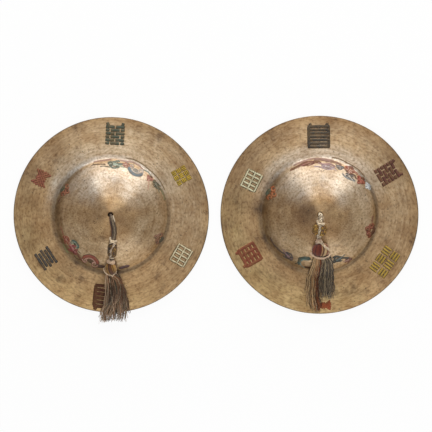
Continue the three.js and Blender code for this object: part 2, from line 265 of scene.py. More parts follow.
def plateSection(cymbal, steps=(60, 12, 4, 36)):
    s = plateShape
    rimRadius, bossRadius = cymbal["rimDiameter"] / 2, cymbal["bossDiameter"] / 2
    seatEdge = bossRadius + s["seatWidth"]
    edgeSlope = math.atan(2 * s["rimLift"] / (rimRadius - seatEdge))
    edgeStart = rimRadius - s["wall"] / 2 * (1 + math.sin(edgeSlope))
    crownTop = np.array([s["holeDiameter"] / 2, s["crownHeight"]])
    turn = np.linspace(math.radians(s["flankSlope"]), 0, steps[1])
    foot = np.stack([bossRadius - s["footFillet"] * np.sin(turn),
                     s["wall"] + s["footFillet"] * (1 - np.cos(turn))], axis=1)
    crown = bezier([crownTop, crownTop + downwards(s["crownSlope"]) * s["crownHandle"],
                    foot[0] - downwards(s["flankSlope"]) * s["flankHandle"], foot[0]], steps[0])
    seat = bezier([foot[-1], (seatEdge, s["wall"])], steps[2])
    rim = bezier([seat[-1], ((seatEdge + edgeStart) / 2, s["wall"]),
                  (edgeStart, s["wall"] + s["rimLift"])], steps[3])
    top = np.concatenate([crown, foot[1:], seat[1:], rim[1:]])
    along = directions(top)
    return top, np.stack([-along[:, 1], along[:, 0]], axis=1)


for side, cymbal in cymbals.items():
    low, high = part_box(side + "_plate")
    cymbal["centre"] = (low.x + high.x) / 2 / mm
    # rows of the upper face: radius, height and the two parts of its normal
    face = np.concatenate(plateSection(cymbal, (160, 30, 8, 80)), axis=1)
    cymbal["face"] = np.concatenate([[[0, plateShape["crownHeight"], 0, 1]], face])


def hammered(cymbal, x, y):
    # broad shallow waves left by the hammer, the same on both faces
    chance, waves = random.Random(cymbal["seed"]), 14
    depth = 0
    for _ in range(waves):
        length = chance.uniform(22, 60)
        heading = chance.uniform(0, math.pi)
        shift = chance.uniform(0, 2 * math.pi)
        across = x * math.cos(heading) + y * math.sin(heading)
        depth = depth + np.sin(across * 2 * math.pi / length + shift)
    reach = np.clip((np.hypot(x, y) - 12) / 20, 0, 1)
    return depth / waves ** 0.5 * plateShape["hammering"] * reach


def bronzeHeight(cymbal, x, y):
    # height of the upper face, in millimetres, over a place given from the cymbal's middle
    radius = np.clip(np.hypot(x, y), 0, cymbal["rimDiameter"] / 2 - 1)
    return readOff(cymbal["face"][:, :2], radius)[0] + hammered(cymbal, x, y)


def turnedShape(cymbal, profile, angles, tint=None, wobble=1.0, hammer=False):
    # a closed section of radius and height rows, turned about the cymbal's middle
    x, y = (np.outer(way * wobble, profile[:, 0]) for way in (np.cos(angles), np.sin(angles)))
    z = np.tile(profile[:, 1], (len(angles), 1))
    if hammer:
        z = z + hammered(cymbal, x, y) * np.clip((z - 0.05) / 0.4, 0, 1)    # its seat stays flat
    points = np.stack([x + cymbal["centre"], y, z], axis=2).reshape(-1, 3)
    return (points, [ringFaces(len(angles), len(profile), loop=True)],
            None if tint is None else tinted(tint, len(points)))


def makePlate(side, material):
    wall = plateShape["wall"]
    top, away = plateSection(cymbals[side])
    under = (top - away * wall)[::-1]
    under[-1, 0] = top[0, 0]
    middle = top[-1] - away[-1] * wall / 2
    turns = math.atan2(away[-1][1], away[-1][0]) - np.radians([30, 60, 90, 120, 150])
    edge = middle + wall / 2 * np.stack([np.cos(turns), np.sin(turns)], axis=1)
    plate = turnedShape(cymbals[side], np.concatenate([top, edge, under]), circle(plateShape["aroundSteps"]),
                        hammer=True)
    makePiece(side, "Bronze", [plate], material, "cymbal", "plate")


bronzeLook = {
    "metal": "#e0bd8b",         # bare bronze
    "paintedHighlight": "#fffaf2",        # painted highlight: near white on the top side, where the key light's reflection lies
    # painted highlight, warmer than the one above; the zones lay it where the lamps' reflections lie
    "pale": "#e8d2b0",
    # painted reflection of light on the lower rim
    "paintedLowerRimLight": "#e2c88e",
    "oxideAndShade": "#8f6b45",         # the brown oxide that old bell bronze grows, also laid by the zones as painted shade
    "olive": "#b0966a",
    # dark of the pits, and painted shade round the hole and in the foot's crease
    "dirtAndShade": "#352616",
    "patinaSize": 26,           # mm across a patch
    "pitSize": 6,               # mm between pits
    "ringSpacing": 2.4,         # lathe rings are about 0.5 mm apart, drawn coarser so that they show
    "roughness": (0.45, 0.6),
    "anisotropy": 0.92,
    "coat": 0.5,                # a thin film of wax and butter-lamp soot
    "coatRoughness": 0.3,
    "creaseLineSide": {"left": -50, "right": -14},      # the side where a painted shade line lies along the foot, in degrees
}
# zones of painted light and shade on the bronze: finish, four radii in mm (from, full from, full to, to),
# the side it is on in degrees, how near to that side it starts and is full, and how strong it is on the
# left and the right cymbal
bronzeZones = [
    # painted shade on the dome's left side, and on the rim's upper left, partly its brown patina
    ("oxideAndShade", (6, 20, 80, 90), 168, (0.3, 0.97), (0.62, 0.62)),
    ("oxideAndShade", (112, 138, 152, 160), 112, (-0.4, 0.8), (0.3, 0.5)),
    # painted shade round the hole
    ("dirtAndShade", (3, 6, 17, 32), 130, (-0.9, 0.6), (0.16, 0.5)),
    ("oxideAndShade", (4, 10, 26, 46), 195, (-0.3, 0.8), (0.0, 0.6)),
    ("oxideAndShade", (4, 10, 34, 60), 305, (0.4, 0.95), (0.5, 0.3)),
    # painted highlights where the lamps' reflections lie on the dome, its foot and the rim
    ("pale", (-2, 6, 30, 60), 85, (0.1, 0.9), (0.5, 0.1)),
    ("paintedHighlight", (20, 46, 76, 86), 84, (0.05, 0.75), (0.85, 0.8)),
    ("pale", (36, 58, 84, 90), 120, (0.0, 0.9), (0.35, 0.5)),
    ("pale", (30, 52, 80, 88), 236, (0.5, 0.97), (0.8, 0.8)),
    ("pale", (34, 54, 82, 90), 2, (0.4, 0.95), (0.8, 0.85)),
    ("pale", (30, 52, 78, 88), -45, (0.5, 0.95), (0.7, 0.7)),
    ("paintedHighlight", (82, 87, 100, 116), 86, (0.25, 0.85), (1.0, 0.8)),
    ("paintedHighlight", (84, 88, 98, 108), 95, (0.0, 0.8), (1.0, 0.5)),
    ("pale", (90, 95, 110, 124), 88, (0.2, 0.8), (1.0, 0.3)),
    ("pale", (86, 94, 130, 150), 58, (-0.6, 0.95), (0.9, 0.6)),
    ("paintedLowerRimLight", (100, 132, 152, 160), 232, (0.1, 0.9), (0.55, 0.85)),
]


def bellBronze(side):
    # cast, hammered and lathe-turned bell bronze: a soft radial sheen, brown patches and dark pits
    look, cymbal = bronzeLook, cymbals[side]
    foot, rim = cymbal["bossDiameter"] / 2, cymbal["rimDiameter"] / 2
    material, add = newMaterial(side + "BellBronze")
    centred = add("VectorMath", {0: add("TexCoord")["Object"], 1: (cymbal["centre"] * mm, 0, 0)},
                  operation="SUBTRACT")[0]
    x, y, _ = add("SeparateXYZ", {0: centred})
    flat = add("CombineXYZ", {"X": x, "Y": y})[0]
    radius = add("VectorMath", {0: flat}, operation="LENGTH")["Value"]
    heading = add("VectorMath", {0: flat}, operation="NORMALIZE")[0]
    ringed = add("CombineXYZ", {"X": radius, "Y": add("Math", {0: y, 1: x}, operation="ARCTAN2")[0]})[0]

    def speckle(size, detail, move=0.0, vector=centred, stretch=1):
        moved = add("Mapping", {"Vector": vector, "Scale": (1, stretch, 1),
                                "Location": (cymbal["patternShift"] + move, move, 0)})[0]
        return add("TexNoise", {"Vector": moved, "Scale": 1 / (size * mm), "Detail": detail,
                                "Roughness": 0.6})["Fac"]

    def product(amount, *factors):
        for factor in factors:
            amount = add("Math", {0: amount, 1: factor}, operation="MULTIPLY", use_clamp=True)[0]
        return amount

    def band(*radii):
        # 1 between two radii in mm, fading out on both sides
        low, lowFull, highFull, high = (r * mm for r in radii)
        rise, fall = (add("MapRange", {0: radius, 1: start, 2: end, 3: first, 4: 1 - first},
                          interpolation_type="SMOOTHSTEP")[0]
                      for start, end, first in ((low, lowFull, 0.0), (highFull, high, 1.0)))
        return product(rise, fall)

    def towards(degrees, low, high):
        # how far a spot lies on the side of the cymbal that is at this angle
        aim = (math.cos(math.radians(degrees)), math.sin(math.radians(degrees)), 0)
        share = add("VectorMath", {0: heading, 1: aim}, operation="DOT_PRODUCT")["Value"]
        return add("MapRange", {0: share, 1: low, 2: high}, interpolation_type="SMOOTHSTEP")[0]

    patches = speckle(look["patinaSize"], 7)
    base = add("ValToRGB", {0: patches},
               [(0.38, look["metal"]), (0.58, look["metal"]), (0.72, look["oxideAndShade"])])[0]
    tinge = add("ValToRGB", {0: speckle(60, 3, 4.1)}, [(0.45, 0.0), (0.7, 0.45)])[0]
    layers = [("MIX", tinge, look["olive"])]
    blotches = [add("ValToRGB", {0: speckle(size, 6, move)}, [(0.32, 1.0), (0.68, 0.42)])[0]
                for size, move in ((16, 7.7), (30, 9.1), (9, 3.3))]
    # the zones lay painted light and shade into the bronze's colour
    for number, (finish, radii, degrees, share, strength) in enumerate(bronzeZones):
        amount = product(band(*radii), towards(degrees, *share), blotches[number % 3],
                         strength[0 if side == "left" else 1])
        layers.append(("MIX", amount, look[finish]))
    layers += shades(       # turning streaks, grain, stains and clouds of tarnish
        add,
        (0.7, speckle(4, 4, 0.0, ringed, 0.01), [(0.3, "#d3c3ae"), (0.58, "#ffffff")]),
        (0.65, speckle(2.8, 5, 6.0, ringed, 0.06), [(0.34, "#a68a68"), (0.48, "#ece5dc"), (0.6, "#ffffff")]),
        (0.55, speckle(7, 6, 12.3), [(0.28, "#a5896a"), (0.44, "#ffffff")]),
        (0.8, speckle(34, 4, 15.1), [(0.34, "#d9cbb8"), (0.56, "#ffffff")]))
    pits = add("TexVoronoi", {"Vector": centred, "Scale": 1 / (look["pitSize"] * mm)})["Distance"]
    pitSpread = add("ValToRGB", {0: speckle(20, 2, 2.2)}, [(0.44, 0.0), (0.72, 0.23)])[0]
    pitted = add("Math", {0: pits, 1: pitSpread}, operation="LESS_THAN")[0]
    # breaks up the painted shade in the foot's crease
    creaseShadeMottle = add("ValToRGB", {0: speckle(14, 4, 5.5)}, [(0.3, 0.28), (0.65, 0.58)])[0]
    darkPitsEdgeAndShade = [       # dark in the pits; painted shade in the crease of the foot, stronger on one side, and along its crease line; darker along the edge
        product(pitted, 0.6),
        product(band(foot - 18, foot - 6, foot, foot + 7), towards(206, -0.4, 0.7), creaseShadeMottle),
        product(band(84, 86.5, 89, 92.5), towards(look["creaseLineSide"][side], -0.1, 0.85), 0.5),
        product(band(rim - 1.6, rim - 0.7, rim + 1, rim + 2), 0.6),
    ]
    base = layered(add, base, layers + [("MIX", amount, look["dirtAndShade"]) for amount in darkPitsEdgeAndShade])
    rough, rougher = look["roughness"]
    roughness = add("MapRange", {0: patches, 1: 0.3, 2: 0.7, 3: rough, 4: rougher})[0]
    rings = add("TexWave", {"Vector": ringed, "Scale": math.pi / 10 / (look["ringSpacing"] * mm),
                            "Distortion": 1.5, "Detail": 3.0}, wave_type="BANDS", bands_direction="X")["Fac"]
    bump = add("Bump", {"Height": rings, "Strength": 0.2, "Distance": 0.1 * mm})[0]
    dents = add("Bump", {"Height": speckle(8, 4), "Strength": 0.35, "Distance": 0.4 * mm, "Normal": bump})[0]
    tangent = add("Tangent", direction_type="RADIAL", axis="Z")[0]
    return finishMaterial(material, add, {
        "Base Color": base, "Metallic": 1.0, "Roughness": roughness, "Anisotropic": look["anisotropy"],
        "Anisotropic Rotation": 0.25, "Tangent": tangent, "Normal": dents,
        "Coat Weight": look["coat"], "Coat Roughness": look["coatRoughness"], "Coat IOR": 1.6})


for side in cymbals:
    makePlate(side, bellBronze(side))
print("plates made")


# cloth, cord and yarn: every soft piece lies along one line from the hole to the tassel's end

laySizes = {
    "clearance": 0.3,
    "layGap": 0.55,             # between the bronze and what lies on it
    "shoulderReach": 4,         # a thick piece holds the line up this far beside it
    "boundShare": 0.64,         # width of the skirt's tied top, of its loose width
}
tassels = {
    "left": {
        "cordRadius": 3, "cordLength": 72.5,
        "hitchLength": 6, "hitchWidth": 10.5, "hitchHeight": 9.6,
        "sleeveLength": 24, "sleeveWidth": 14, "sleeveHeight": 10.4,
        "collarLength": 8, "collarWidth": 13.7, "collarHeight": 11,
        "headLength": 21.5, "headWidth": 17.5, "headHeight": 16,
        "ringThickness": 2.6,
        "skirtLength": 79, "skirtTopWidth": 17, "skirtTopHeight": 13, "skirtEndHeight": 6, "drawnUp": 3.4,
        "route": [      # sideways and outwards, in mm from the hole
            (0, 0), (1.2, 5), (2.8, 11), (4.6, 17), (5.6, 23), (5.4, 29), (4.4, 35), (3.4, 41), (2.8, 47),
            (2.4, 54), (2.1, 60), (1.4, 66), (0, 72), (-1.2, 79), (-1.6, 87), (-0.8, 96), (1.2, 110),
            (3, 123), (4, 136), (4.3, 150), (4.4, 164)],
    },
    "right": {
        "cordRadius": 3, "cordLength": 36,
        "hitchLength": 3.2, "hitchWidth": 11, "hitchHeight": 9.6,
        "sleeveLength": 17, "sleeveWidth": 21, "sleeveHeight": 12,
        "collarLength": 8.6, "collarWidth": 11.5, "collarHeight": 9.6,
        "headLength": 19.5, "headWidth": 27, "headHeight": 16,
        "ringThickness": 3,
        "skirtLength": 98, "skirtTopWidth": 26, "skirtTopHeight": 14, "skirtEndHeight": 6, "drawnUp": 2.2,
        "route": [
            (0, 0), (0.4, 5), (0.3, 10), (-0.3, 16), (-0.9, 22), (-1.5, 28), (-2, 34), (-2, 40), (-1, 46),
            (0.2, 53), (0.3, 60), (-0.2, 67), (-0.8, 75), (-1.3, 83), (-1.7, 93), (-2, 104), (-2.2, 115),
            (-2.4, 127), (-2.5, 139), (-2.5, 153)],
    },
}


def addStations(t):
    # where each piece starts and ends along the line
    gap = laySizes["clearance"]
    held = t["cordLength"] - t["cordRadius"] - 3 * gap - t["sleeveLength"] - t["hitchLength"]
    below = t["cordLength"] + t["cordRadius"] + gap
    for start, pieces in ((held, ("hitch", "sleeve")), (below, ("collar", "head", "skirt"))):
        for piece in pieces:
            t[piece + "Start"], t[piece + "End"] = start, start + t[piece + "Length"]
            start = t[piece + "End"] + gap
    t["boundTop"] = laySizes["boundShare"] * t["skirtTopWidth"] / 2


def halfThickness(t, along):
    quarter = t["headLength"] / 4
    shoulder = t["ringThickness"] + 5 * laySizes["clearance"]
    return readOff([
        (0, t["cordRadius"]), (t["hitchStart"] - 2 * t["cordRadius"], t["cordRadius"]),
        (t["hitchStart"], t["hitchHeight"] / 2), (t["sleeveStart"], t["sleeveHeight"] / 2),
        (t["sleeveEnd"], t["sleeveHeight"] / 2), (t["collarStart"], t["collarHeight"] / 2),
        (t["collarEnd"], t["collarHeight"] / 2), (t["headStart"] + quarter, t["headHeight"] / 2),
        (t["headEnd"] - quarter, t["headHeight"] / 2), (t["skirtStart"] + shoulder, t["skirtTopHeight"] / 2),
        (t["skirtEnd"], t["skirtEndHeight"] / 2)], along)[0]


def lyingHeight(cymbal, outwards, half):
    reach = half + laySizes["layGap"]
    held = min(outwards, cymbal["rimDiameter"] / 2 - plateShape["wall"])
    across = np.abs(cymbal["face"][:, 0] - held)
    near = across < reach
    return (cymbal["face"][near, 1] + np.sqrt(reach ** 2 - across[near] ** 2)).max()


def smoothCurve(points, perSpan):
    # a curve through the points that doesn't overshoot where they lie close together
    p = np.array(points, float)
    p = np.concatenate([[2 * p[0] - p[1]], p, [2 * p[-1] - p[-2]]])
    out = []
    for a, b, c, d in zip(p, p[1:], p[2:], p[3:]):
        ab, bc, cd = (max(np.linalg.norm(v - u) ** 0.5, 1e-4) for u, v in ((a, b), (b, c), (c, d)))
        leave = ((b - a) / ab - (c - a) / (ab + bc) + (c - b) / bc) * bc
        arrive = ((c - b) / bc - (d - b) / (bc + cd) + (d - c) / cd) * bc
        t = np.linspace(0, 1, perSpan, endpoint=False)[:, None]
        out.append(b + leave * t + (-3 * b + 3 * c - 2 * leave - arrive) * t ** 2
                   + (2 * b - 2 * c + leave + arrive) * t ** 3)
    return np.concatenate([*out, p[-2:-1]])


def layLine(side):
    cymbal, t = cymbals[side], tassels[side]
    reach = laySizes["shoulderReach"]
    points, along = [], 0
    for sideways, outwards in t["route"]:
        point = np.array([sideways, -outwards, plateShape["crownHeight"] + t["cordRadius"]
                          + laySizes["clearance"]], float)
        if points:
            for _ in range(3):      # the height changes the length, which changes what lies here
                here = along + np.linalg.norm(point - points[-1])
                half = max(halfThickness(t, max(0, here + step)) for step in (-reach, 0, reach))
                point[2] = lyingHeight(cymbal, outwards, half)
            along += np.linalg.norm(point - points[-1])
        points.append(point)
    curve = smoothCurve(points, 24)
    distance = travelled(curve)
    even = np.linspace(0, distance[-1], 700)
    path = np.stack(readOff(np.column_stack([distance, curve]), even), axis=1)
    tangent = directions(path)
    normal = unit(np.array([0, 0, 1.0]) - tangent * tangent[:, 2:3])
    t["line"] = np.column_stack([even, path, tangent, normal, np.cross(normal, tangent)])


def laid(side, across, along, above):
    # places across, along and above the line, as points in the shared frame, all in mm
    across, along, above = np.broadcast_arrays(across, along, above)
    line = tassels[side]["line"]
    at = np.clip(along, 0, line[-1, 0])
    path, tangent, normal, aside = np.reshape(readOff(line, at), (4, 3, -1)).transpose(0, 2, 1)
    world = path + aside * across[:, None] + normal * above[:, None] + tangent * (along - at)[:, None]
    world[:, 0] += cymbals[side]["centre"]
    return world


for side, t in tassels.items():
    addStations(t)
    layLine(side)
    for key in ("collarEnd", "headStart", "headEnd", "skirtStart"):     # pulled tight up under the collar
        t[key] -= t["drawnUp"]


def tube(side, wide, along, deep, tint, middle=0.0):
    # rings round the line, closed by a fan at each end; wide and deep have a row for each ring
    rings, sides = wide.shape
    angles, middle = circle(sides), np.broadcast_to(middle, rings)
    points = laid(side, np.append(middle[:, None] + np.cos(angles) * wide, middle[[0, -1]]),
                  np.append(np.repeat(along, sides), along[[0, -1]]),
                  np.append(np.sin(angles) * deep, (0, 0)))
    return points, [ringFaces(rings, sides), capFaces(rings, sides)], tinted(tint, len(points))


def loft(side, profile, heightShare, tint, sides, ripple=None):
    # a flattened piece turned about the line: profile rows are half width and distance
    half, distance = np.asarray(profile, float).T
    wave = ripple(circle(sides), distance[:, None]) if ripple else np.ones(sides)
    wide = half[:, None] * wave
    return tube(side, wide, distance, wide * heightShare, tint)


def aboveBronze(side, path, radius):
    # lifts a strand's path clear of the bronze, and lets it hang a little beyond the rim
    cymbal = cymbals[side]
    x, y = path[:, 0] - cymbal["centre"], path[:, 1]
    floor = bronzeHeight(cymbal, x, y) + laySizes["clearance"] + radius
    inside = np.hypot(x, y) < cymbal["rimDiameter"] / 2 + 1
    path[:, 2] = np.maximum(path[:, 2], np.where(inside, floor, radius + 0.2))
    return path


# finishes of the soft pieces: their colours come from a tint on each strand

def newSoftMaterial(name):
    material, add = newMaterial(name)
    return material, add, add("TexCoord")["Object"], add("Attribute", attribute_name="tint")["Color"]


def finishSoft(material, add, base, height, strength, depth, surface):
    bump = add("Bump", {"Height": height, "Strength": strength, "Distance": depth * mm})[0]
    return finishMaterial(material, add, {"Base Color": base, "Normal": bump, **surface})


def fibre(name, roughness, sheen, fuzz, depth, contrast):
    # spun and twisted fibre: matt, with fine fuzz that catches light
    material, add, spot, tint = newSoftMaterial(name)
    fine = add("TexNoise", {"Vector": spot, "Scale": 1 / (fuzz * mm), "Detail": 4.0, "Roughness": 0.7})["Fac"]
    soil = add("TexNoise", {"Vector": spot, "Scale": 1 / (7 * mm), "Detail": 3.0})["Fac"]
    base = layered(add, tint, shades(
        add, (1.0, fine, [(0.28, 1 - contrast), (0.7, 1.0 + contrast * 0.35)]),
        (1.0, soil, [(0.35, "#e4d8c5"), (0.6, "#fff2dc")])))      # age yellows it
    return finishSoft(material, add, base, fine, 0.6, depth, {
        "Roughness": roughness, "Sheen Weight": sheen, "Sheen Roughness": 0.5, "Specular IOR Level": 0.25})


def rawHide():
    # hand-cut hide thong: matt and grey where handled, with creases and dark greasy edges
    material, add, spot, tint = newSoftMaterial("smokedHide")
    grain = add("TexVoronoi", {"Vector": spot, "Scale": 1 / (1.4 * mm)})["Distance"]
    creases = add("TexNoise", {"Vector": spot, "Scale": 1 / (5 * mm), "Detail": 6.0,
                               "Roughness": 0.65})["Fac"]
    base = layered(add, tint, shades(add, (0.8, creases, [(0.35, 0.5), (0.6, 1.15)])))
    height = add("Math", {0: creases, 1: 2.0, 2: grain}, operation="MULTIPLY_ADD")[0]
    return finishSoft(material, add, base, height, 0.7, 0.35, {"Roughness": 0.62})


brocadeLook = {
    "left": {"ground": "#482616", "figure": "#8a6227", "light": "#c89e4c"},
    "right": {"ground": "#6b4016", "figure": "#b3842f", "light": "#dfb75e"},
    "threadSize": 0.55,         # brocade threads are about 0.2 mm apart, drawn coarser so that they show
    "figureSize": 5,
}


def silkBrocade(side):
    # woven silk brocade: metal-thread figures catch the light over a duller ground weave
    look = brocadeLook[side]
    material, add, spot, tint = newSoftMaterial(side + "SilkBrocade")
    turned = add("Mapping", {"Vector": spot, "Rotation": (0.3, 0.2, 0.7)})[0]
    figures = add("TexNoise", {"Vector": turned, "Scale": 1 / (brocadeLook["figureSize"] * mm), "Detail": 2.0,
                               "Distortion": 1.6})["Fac"]
    colour = add("ValToRGB", {0: figures}, [(0.42, look["ground"]), (0.47, look["figure"]),
                                            (0.6, look["figure"]), (0.64, look["light"])])[0]
    warp, weft = (add("TexWave", {"Vector": spot, "Scale": math.pi / 10 / (brocadeLook["threadSize"] * mm),
                                  "Distortion": 0.8}, bands_direction=way)["Fac"] for way in ("X", "Y"))
    weave = add("Math", {0: warp, 1: weft}, operation="MULTIPLY")[0]
    woven = shades(add, (0.8, weave, [(0.0, 0.62), (0.6, 1.1)]))
    base = layered(add, colour, woven + [("MULTIPLY", 1.0, tint)])
    metal = add("ValToRGB", {0: figures}, [(0.44, 0.0), (0.5, 0.3)])[0]
    return finishSoft(material, add, base, weave, 0.5, 0.15,
                      {"Roughness": 0.48, "Metallic": metal, "Sheen Weight": 0.12})


cottonThread = fibre("spunCotton", 0.9, 0.25, 0.9, 0.25, 0.28)
woolYarn = fibre("spunWoolYarn", 0.85, 0.2, 1.1, 0.2, 0.35)
silkCord = fibre("silkCord", 0.55, 0.3, 0.8, 0.15, 0.3)
smokedHide = rawHide()


# washers and stop knots inside the domes

stopShape = {
    "washerDiameter": 28, "washerThickness": 2, "neckDiameter": 7.8,
    "knotRadius": 5.2, "knotStrand": 2.2,
    "tailLength": 13, "tailStrand": 1.9, "tailApart": 3.9, "tailTwist": 0.35,
    "leather": "#6e4c32", "hide": "#5d4c3d", "cotton": "#e0d7c6",
    "lean": (1.3, -1.9),        # the thong leaves by the hole's lower right, so that the hole shows
}


def faceAt(cymbal, radius, depth):
    # a point this far inside the dome's upper face, as radius and height
    height, *away = readOff(cymbal["face"], radius)
    return np.array([radius, height]) - np.array(away) / np.linalg.norm(away) * depth


def makeWasher(side):
    cymbal, s, gap = cymbals[side], stopShape, laySizes["clearance"]
    radii = np.linspace(s["neckDiameter"] / 2 + gap, s["washerDiameter"] / 2 - 0.4, 10)
    depth = plateShape["wall"] + gap
    upper = [faceAt(cymbal, r, depth) for r in radii]
    lower = [faceAt(cymbal, r, depth + s["washerThickness"]) for r in radii]
    rim = [upper[-1] * share + lower[-1] * (1 - share) + (0.35, 0) for share in (0.75, 0.25)]
    angles = circle(64)
    wobble = 1 + 0.012 * np.sin(3 * angles) + 0.008 * np.sin(7 * angles + 1)     # cut by hand
    washer = turnedShape(cymbal, np.array(upper + rim + lower[::-1]), angles, s["leather"], wobble)
    makePiece(side, "LeatherWasher", [washer], smokedHide, "stop", "washer")


def hangingPlies(path, turns, spread, radius, colour, sides):
    # three plies laid round each other along an upright path
    shapes = []
    for ply in range(3):
        angle = turns + ply * 2.1
        offset = np.stack([np.cos(angle), np.sin(angle), angle * 0], axis=1) * spread[:, None]
        shapes.append(sweep(path + offset, radius, colour, sides, lean=(0, 1, 0)))
    return shapes


def makeStopKnot(side):
    cymbal, s, gap = cymbals[side], stopShape, laySizes["clearance"]
    hide = side == "left"
    colour, finish, slot = ((s["hide"], smokedHide, "cord_hide") if hide
                            else (s["cotton"], cottonThread, "cotton"))
    top = faceAt(cymbal, 1.5 * s["knotRadius"], plateShape["wall"] + gap + s["washerThickness"])[1] - gap
    middle = top - s["knotRadius"] / 2 - s["knotStrand"]
    t = circle(160)
    wide = s["knotRadius"] * (2 + np.cos(1.5 * 2 * t)) / 2
    knot = np.stack([wide * np.cos(2 * t) + cymbal["centre"], wide * np.sin(2 * t),
                     s["knotRadius"] * np.sin(1.5 * 2 * t) / 2 + middle], axis=1)
    shapes = ([sweep(knot, s["knotStrand"], colour, 12, loop=True)] if hide
              else twisted(knot, s["knotStrand"], 3, 6, colour, 8, share=0.54, loop=True))
    for lean in (-1, 1):
        turn, strand = lean * s["tailTwist"], s["tailStrand"]
        along = np.linspace(0, 1, 26)
        sway = np.sin(along * 5 + lean) * 0.8 * along
        x = lean * s["tailApart"] + sway
        tail = np.stack([x * math.cos(turn) + cymbal["centre"], x * math.sin(turn) + sway * 0.6,
                         middle + 0.5 - along * (s["tailLength"] + strand)], axis=1)
        if hide:
            shapes.append(sweep(tail, strand * (1 - 0.25 * along), colour, 10, flat=0.8, lean=(0, 1, 0)))
        else:
            spread = strand * (0.45 + 0.35 * np.clip(along - 0.75, 0, 1) * 4)
            shapes += hangingPlies(tail, along * 9, spread, strand * 0.52, colour, 7)
    makePiece(side, "StopKnot", shapes, finish, "stop", "stop_knot")
    rise = np.linspace(0, 1, 14)
    bottom, height = top + gap, plateShape["crownHeight"] + 1.4
    shaft = np.stack([rise * 0 + cymbal["centre"], rise * 0, bottom + (height - bottom) * rise], axis=1)
    radius = np.full(14, s["neckDiameter"] / 2 - 0.25)
    radius[-3:] -= (0.2, 0.6, 1.3)
    if hide:
        shaft[:, :2] += rise[:, None] ** 1.5 * s["lean"]
        neck = [sweep(shaft, radius * 0.6, colour, 20, lean=(0, 1, 0))]
    else:
        neck = hangingPlies(shaft, np.linspace(0, 3, 14), radius * 0.44, radius * 0.55, colour, 10)
    makePiece(side, "Neck", neck, finish, "stop", "neck")


for side in cymbals:
    makeWasher(side)
    makeStopKnot(side)
print("washers and stop knots made")


# cord, hitch and sleeve, which the hand holds, and the tassel below them

softLook = {
    "left": {
        "thong": "#352318",
        # strips of the thong's skin: place beside its middle, half width, colour, how high it stands and
        # the last point that it reaches; their colours paint light and shade: the reddish dark left strip is
        # partly painted shade, the lighter strip right of the middle is a painted highlight, and the pale
        # strip that reaches only near the hole is a painted highlight on the lit edge
        "strips": [(-3.0, 1.3, "#5a3a2a", 0.45, -3), (-0.9, 1.2, "#564532", 0.95, -3),
                   (0.6, 1.4, "#806d55", 1.0, -3), (2.3, 1.2, "#564532", 0.7, -3),
                   (3.2, 0.9, "#dcc8a8", 0.55, 9)],
        "hitchCore": "#564532", "hitch": "#e3d8c8", "hitchShort": 2.4, "hitchTurns": 1.6,
        "pleats": 13, "pleatDepth": 0.05, "leftShadeStart": 0.2, "rows": 15,
        # places beside the line, thickness, colours and pitch of each thread over the sleeve
        "threads": [((2.6, -1.6, -2.4), 1.45, ["#d3c4b8", "#b3a195", "#e6dacd"], 9)],
        "collar": "#ead6c6", "collarShade": "#c2a897", "ring": "#efe4d6", "collarRows": 3,
        "headStrands": 24, "headCore": "#4a2e1e", "headTwist": -1.7, "headAside": 1.4, "headFuller": 0.8,
        "gold": ["#a88446", "#96733a", "#b9955a"], "shade": ["#563520", "#6a4425", "#4a2d1c"],
        # slung across the head: high on its left, lowest right of the middle
        "ringDrop": [(-1, -8.5), (0.3, 2.0), (1, -3.0)], "ringWidth": 0,
    },
    "right": {
        "cotton": ["#e6dccd", "#efe7da", "#b8ab9a"],
        "hitchCore": "#8d8172", "hitch": "#e3d8c8", "hitchShort": 0.2, "hitchTurns": 1.7,
        "pleats": 17, "pleatDepth": 0.065, "leftShadeStart": 0.75, "rows": 24,
        "threads": [((-1.4, -0.2, -2.2), 1.45, ["#e6dccd", "#efe7da", "#b8ab9a"], 6),
                    ((1.4, 0.8, -0.6), 1.0, ["#e6dccd", "#efe7da", "#b8ab9a"], 5)],
        "collar": "#e6d3c6", "collarShade": "#b98f80", "ring": "#f0d8c8", "collarRows": 5,
        "headStrands": 34, "headCore": "#3f2018", "headTwist": 0.5, "headAside": 0.5, "headFuller": 0,
        "reds": ["#672a1b", "#76351f", "#4f1e15"],
        "tans": ["#8a5a40", "#a98560", "#c9b28c", "#5a3a28", "#b08d6d"],
        # it spreads wide and flat below the ball
        "ringDrop": [(-1, -2.6), (-0.4, 0.7), (0.4, 0.9), (1, -1.8)], "ringWidth": 14.2,
    },
}


def alongLine(start, end, step=1.2):
    return np.linspace(start, end, max(3, int((end - start) / step)))


def wound(side, start, end, halfWidth, halfHeight, thread, turns, tint, wobble, seed):
    # a thread wound round and round a flattened core
    chance = np.random.default_rng(seed)
    angle = np.linspace(0, turns * 2 * math.pi, int(turns * 26))
    along = start + thread + (end - start - 2 * thread) * angle / angle[-1]
    places = int(turns * 2) + 2
    drift = np.interp(angle, np.linspace(0, angle[-1], places), chance.normal(0, wobble, places))
    swell = 1 + 0.03 * np.sin(angle * 0.37 + seed)
    return sweep(laid(side, np.cos(angle) * (halfWidth - thread) * swell, along + drift,
                      np.sin(angle) * (halfHeight - thread) * swell), thread, tint, 8)


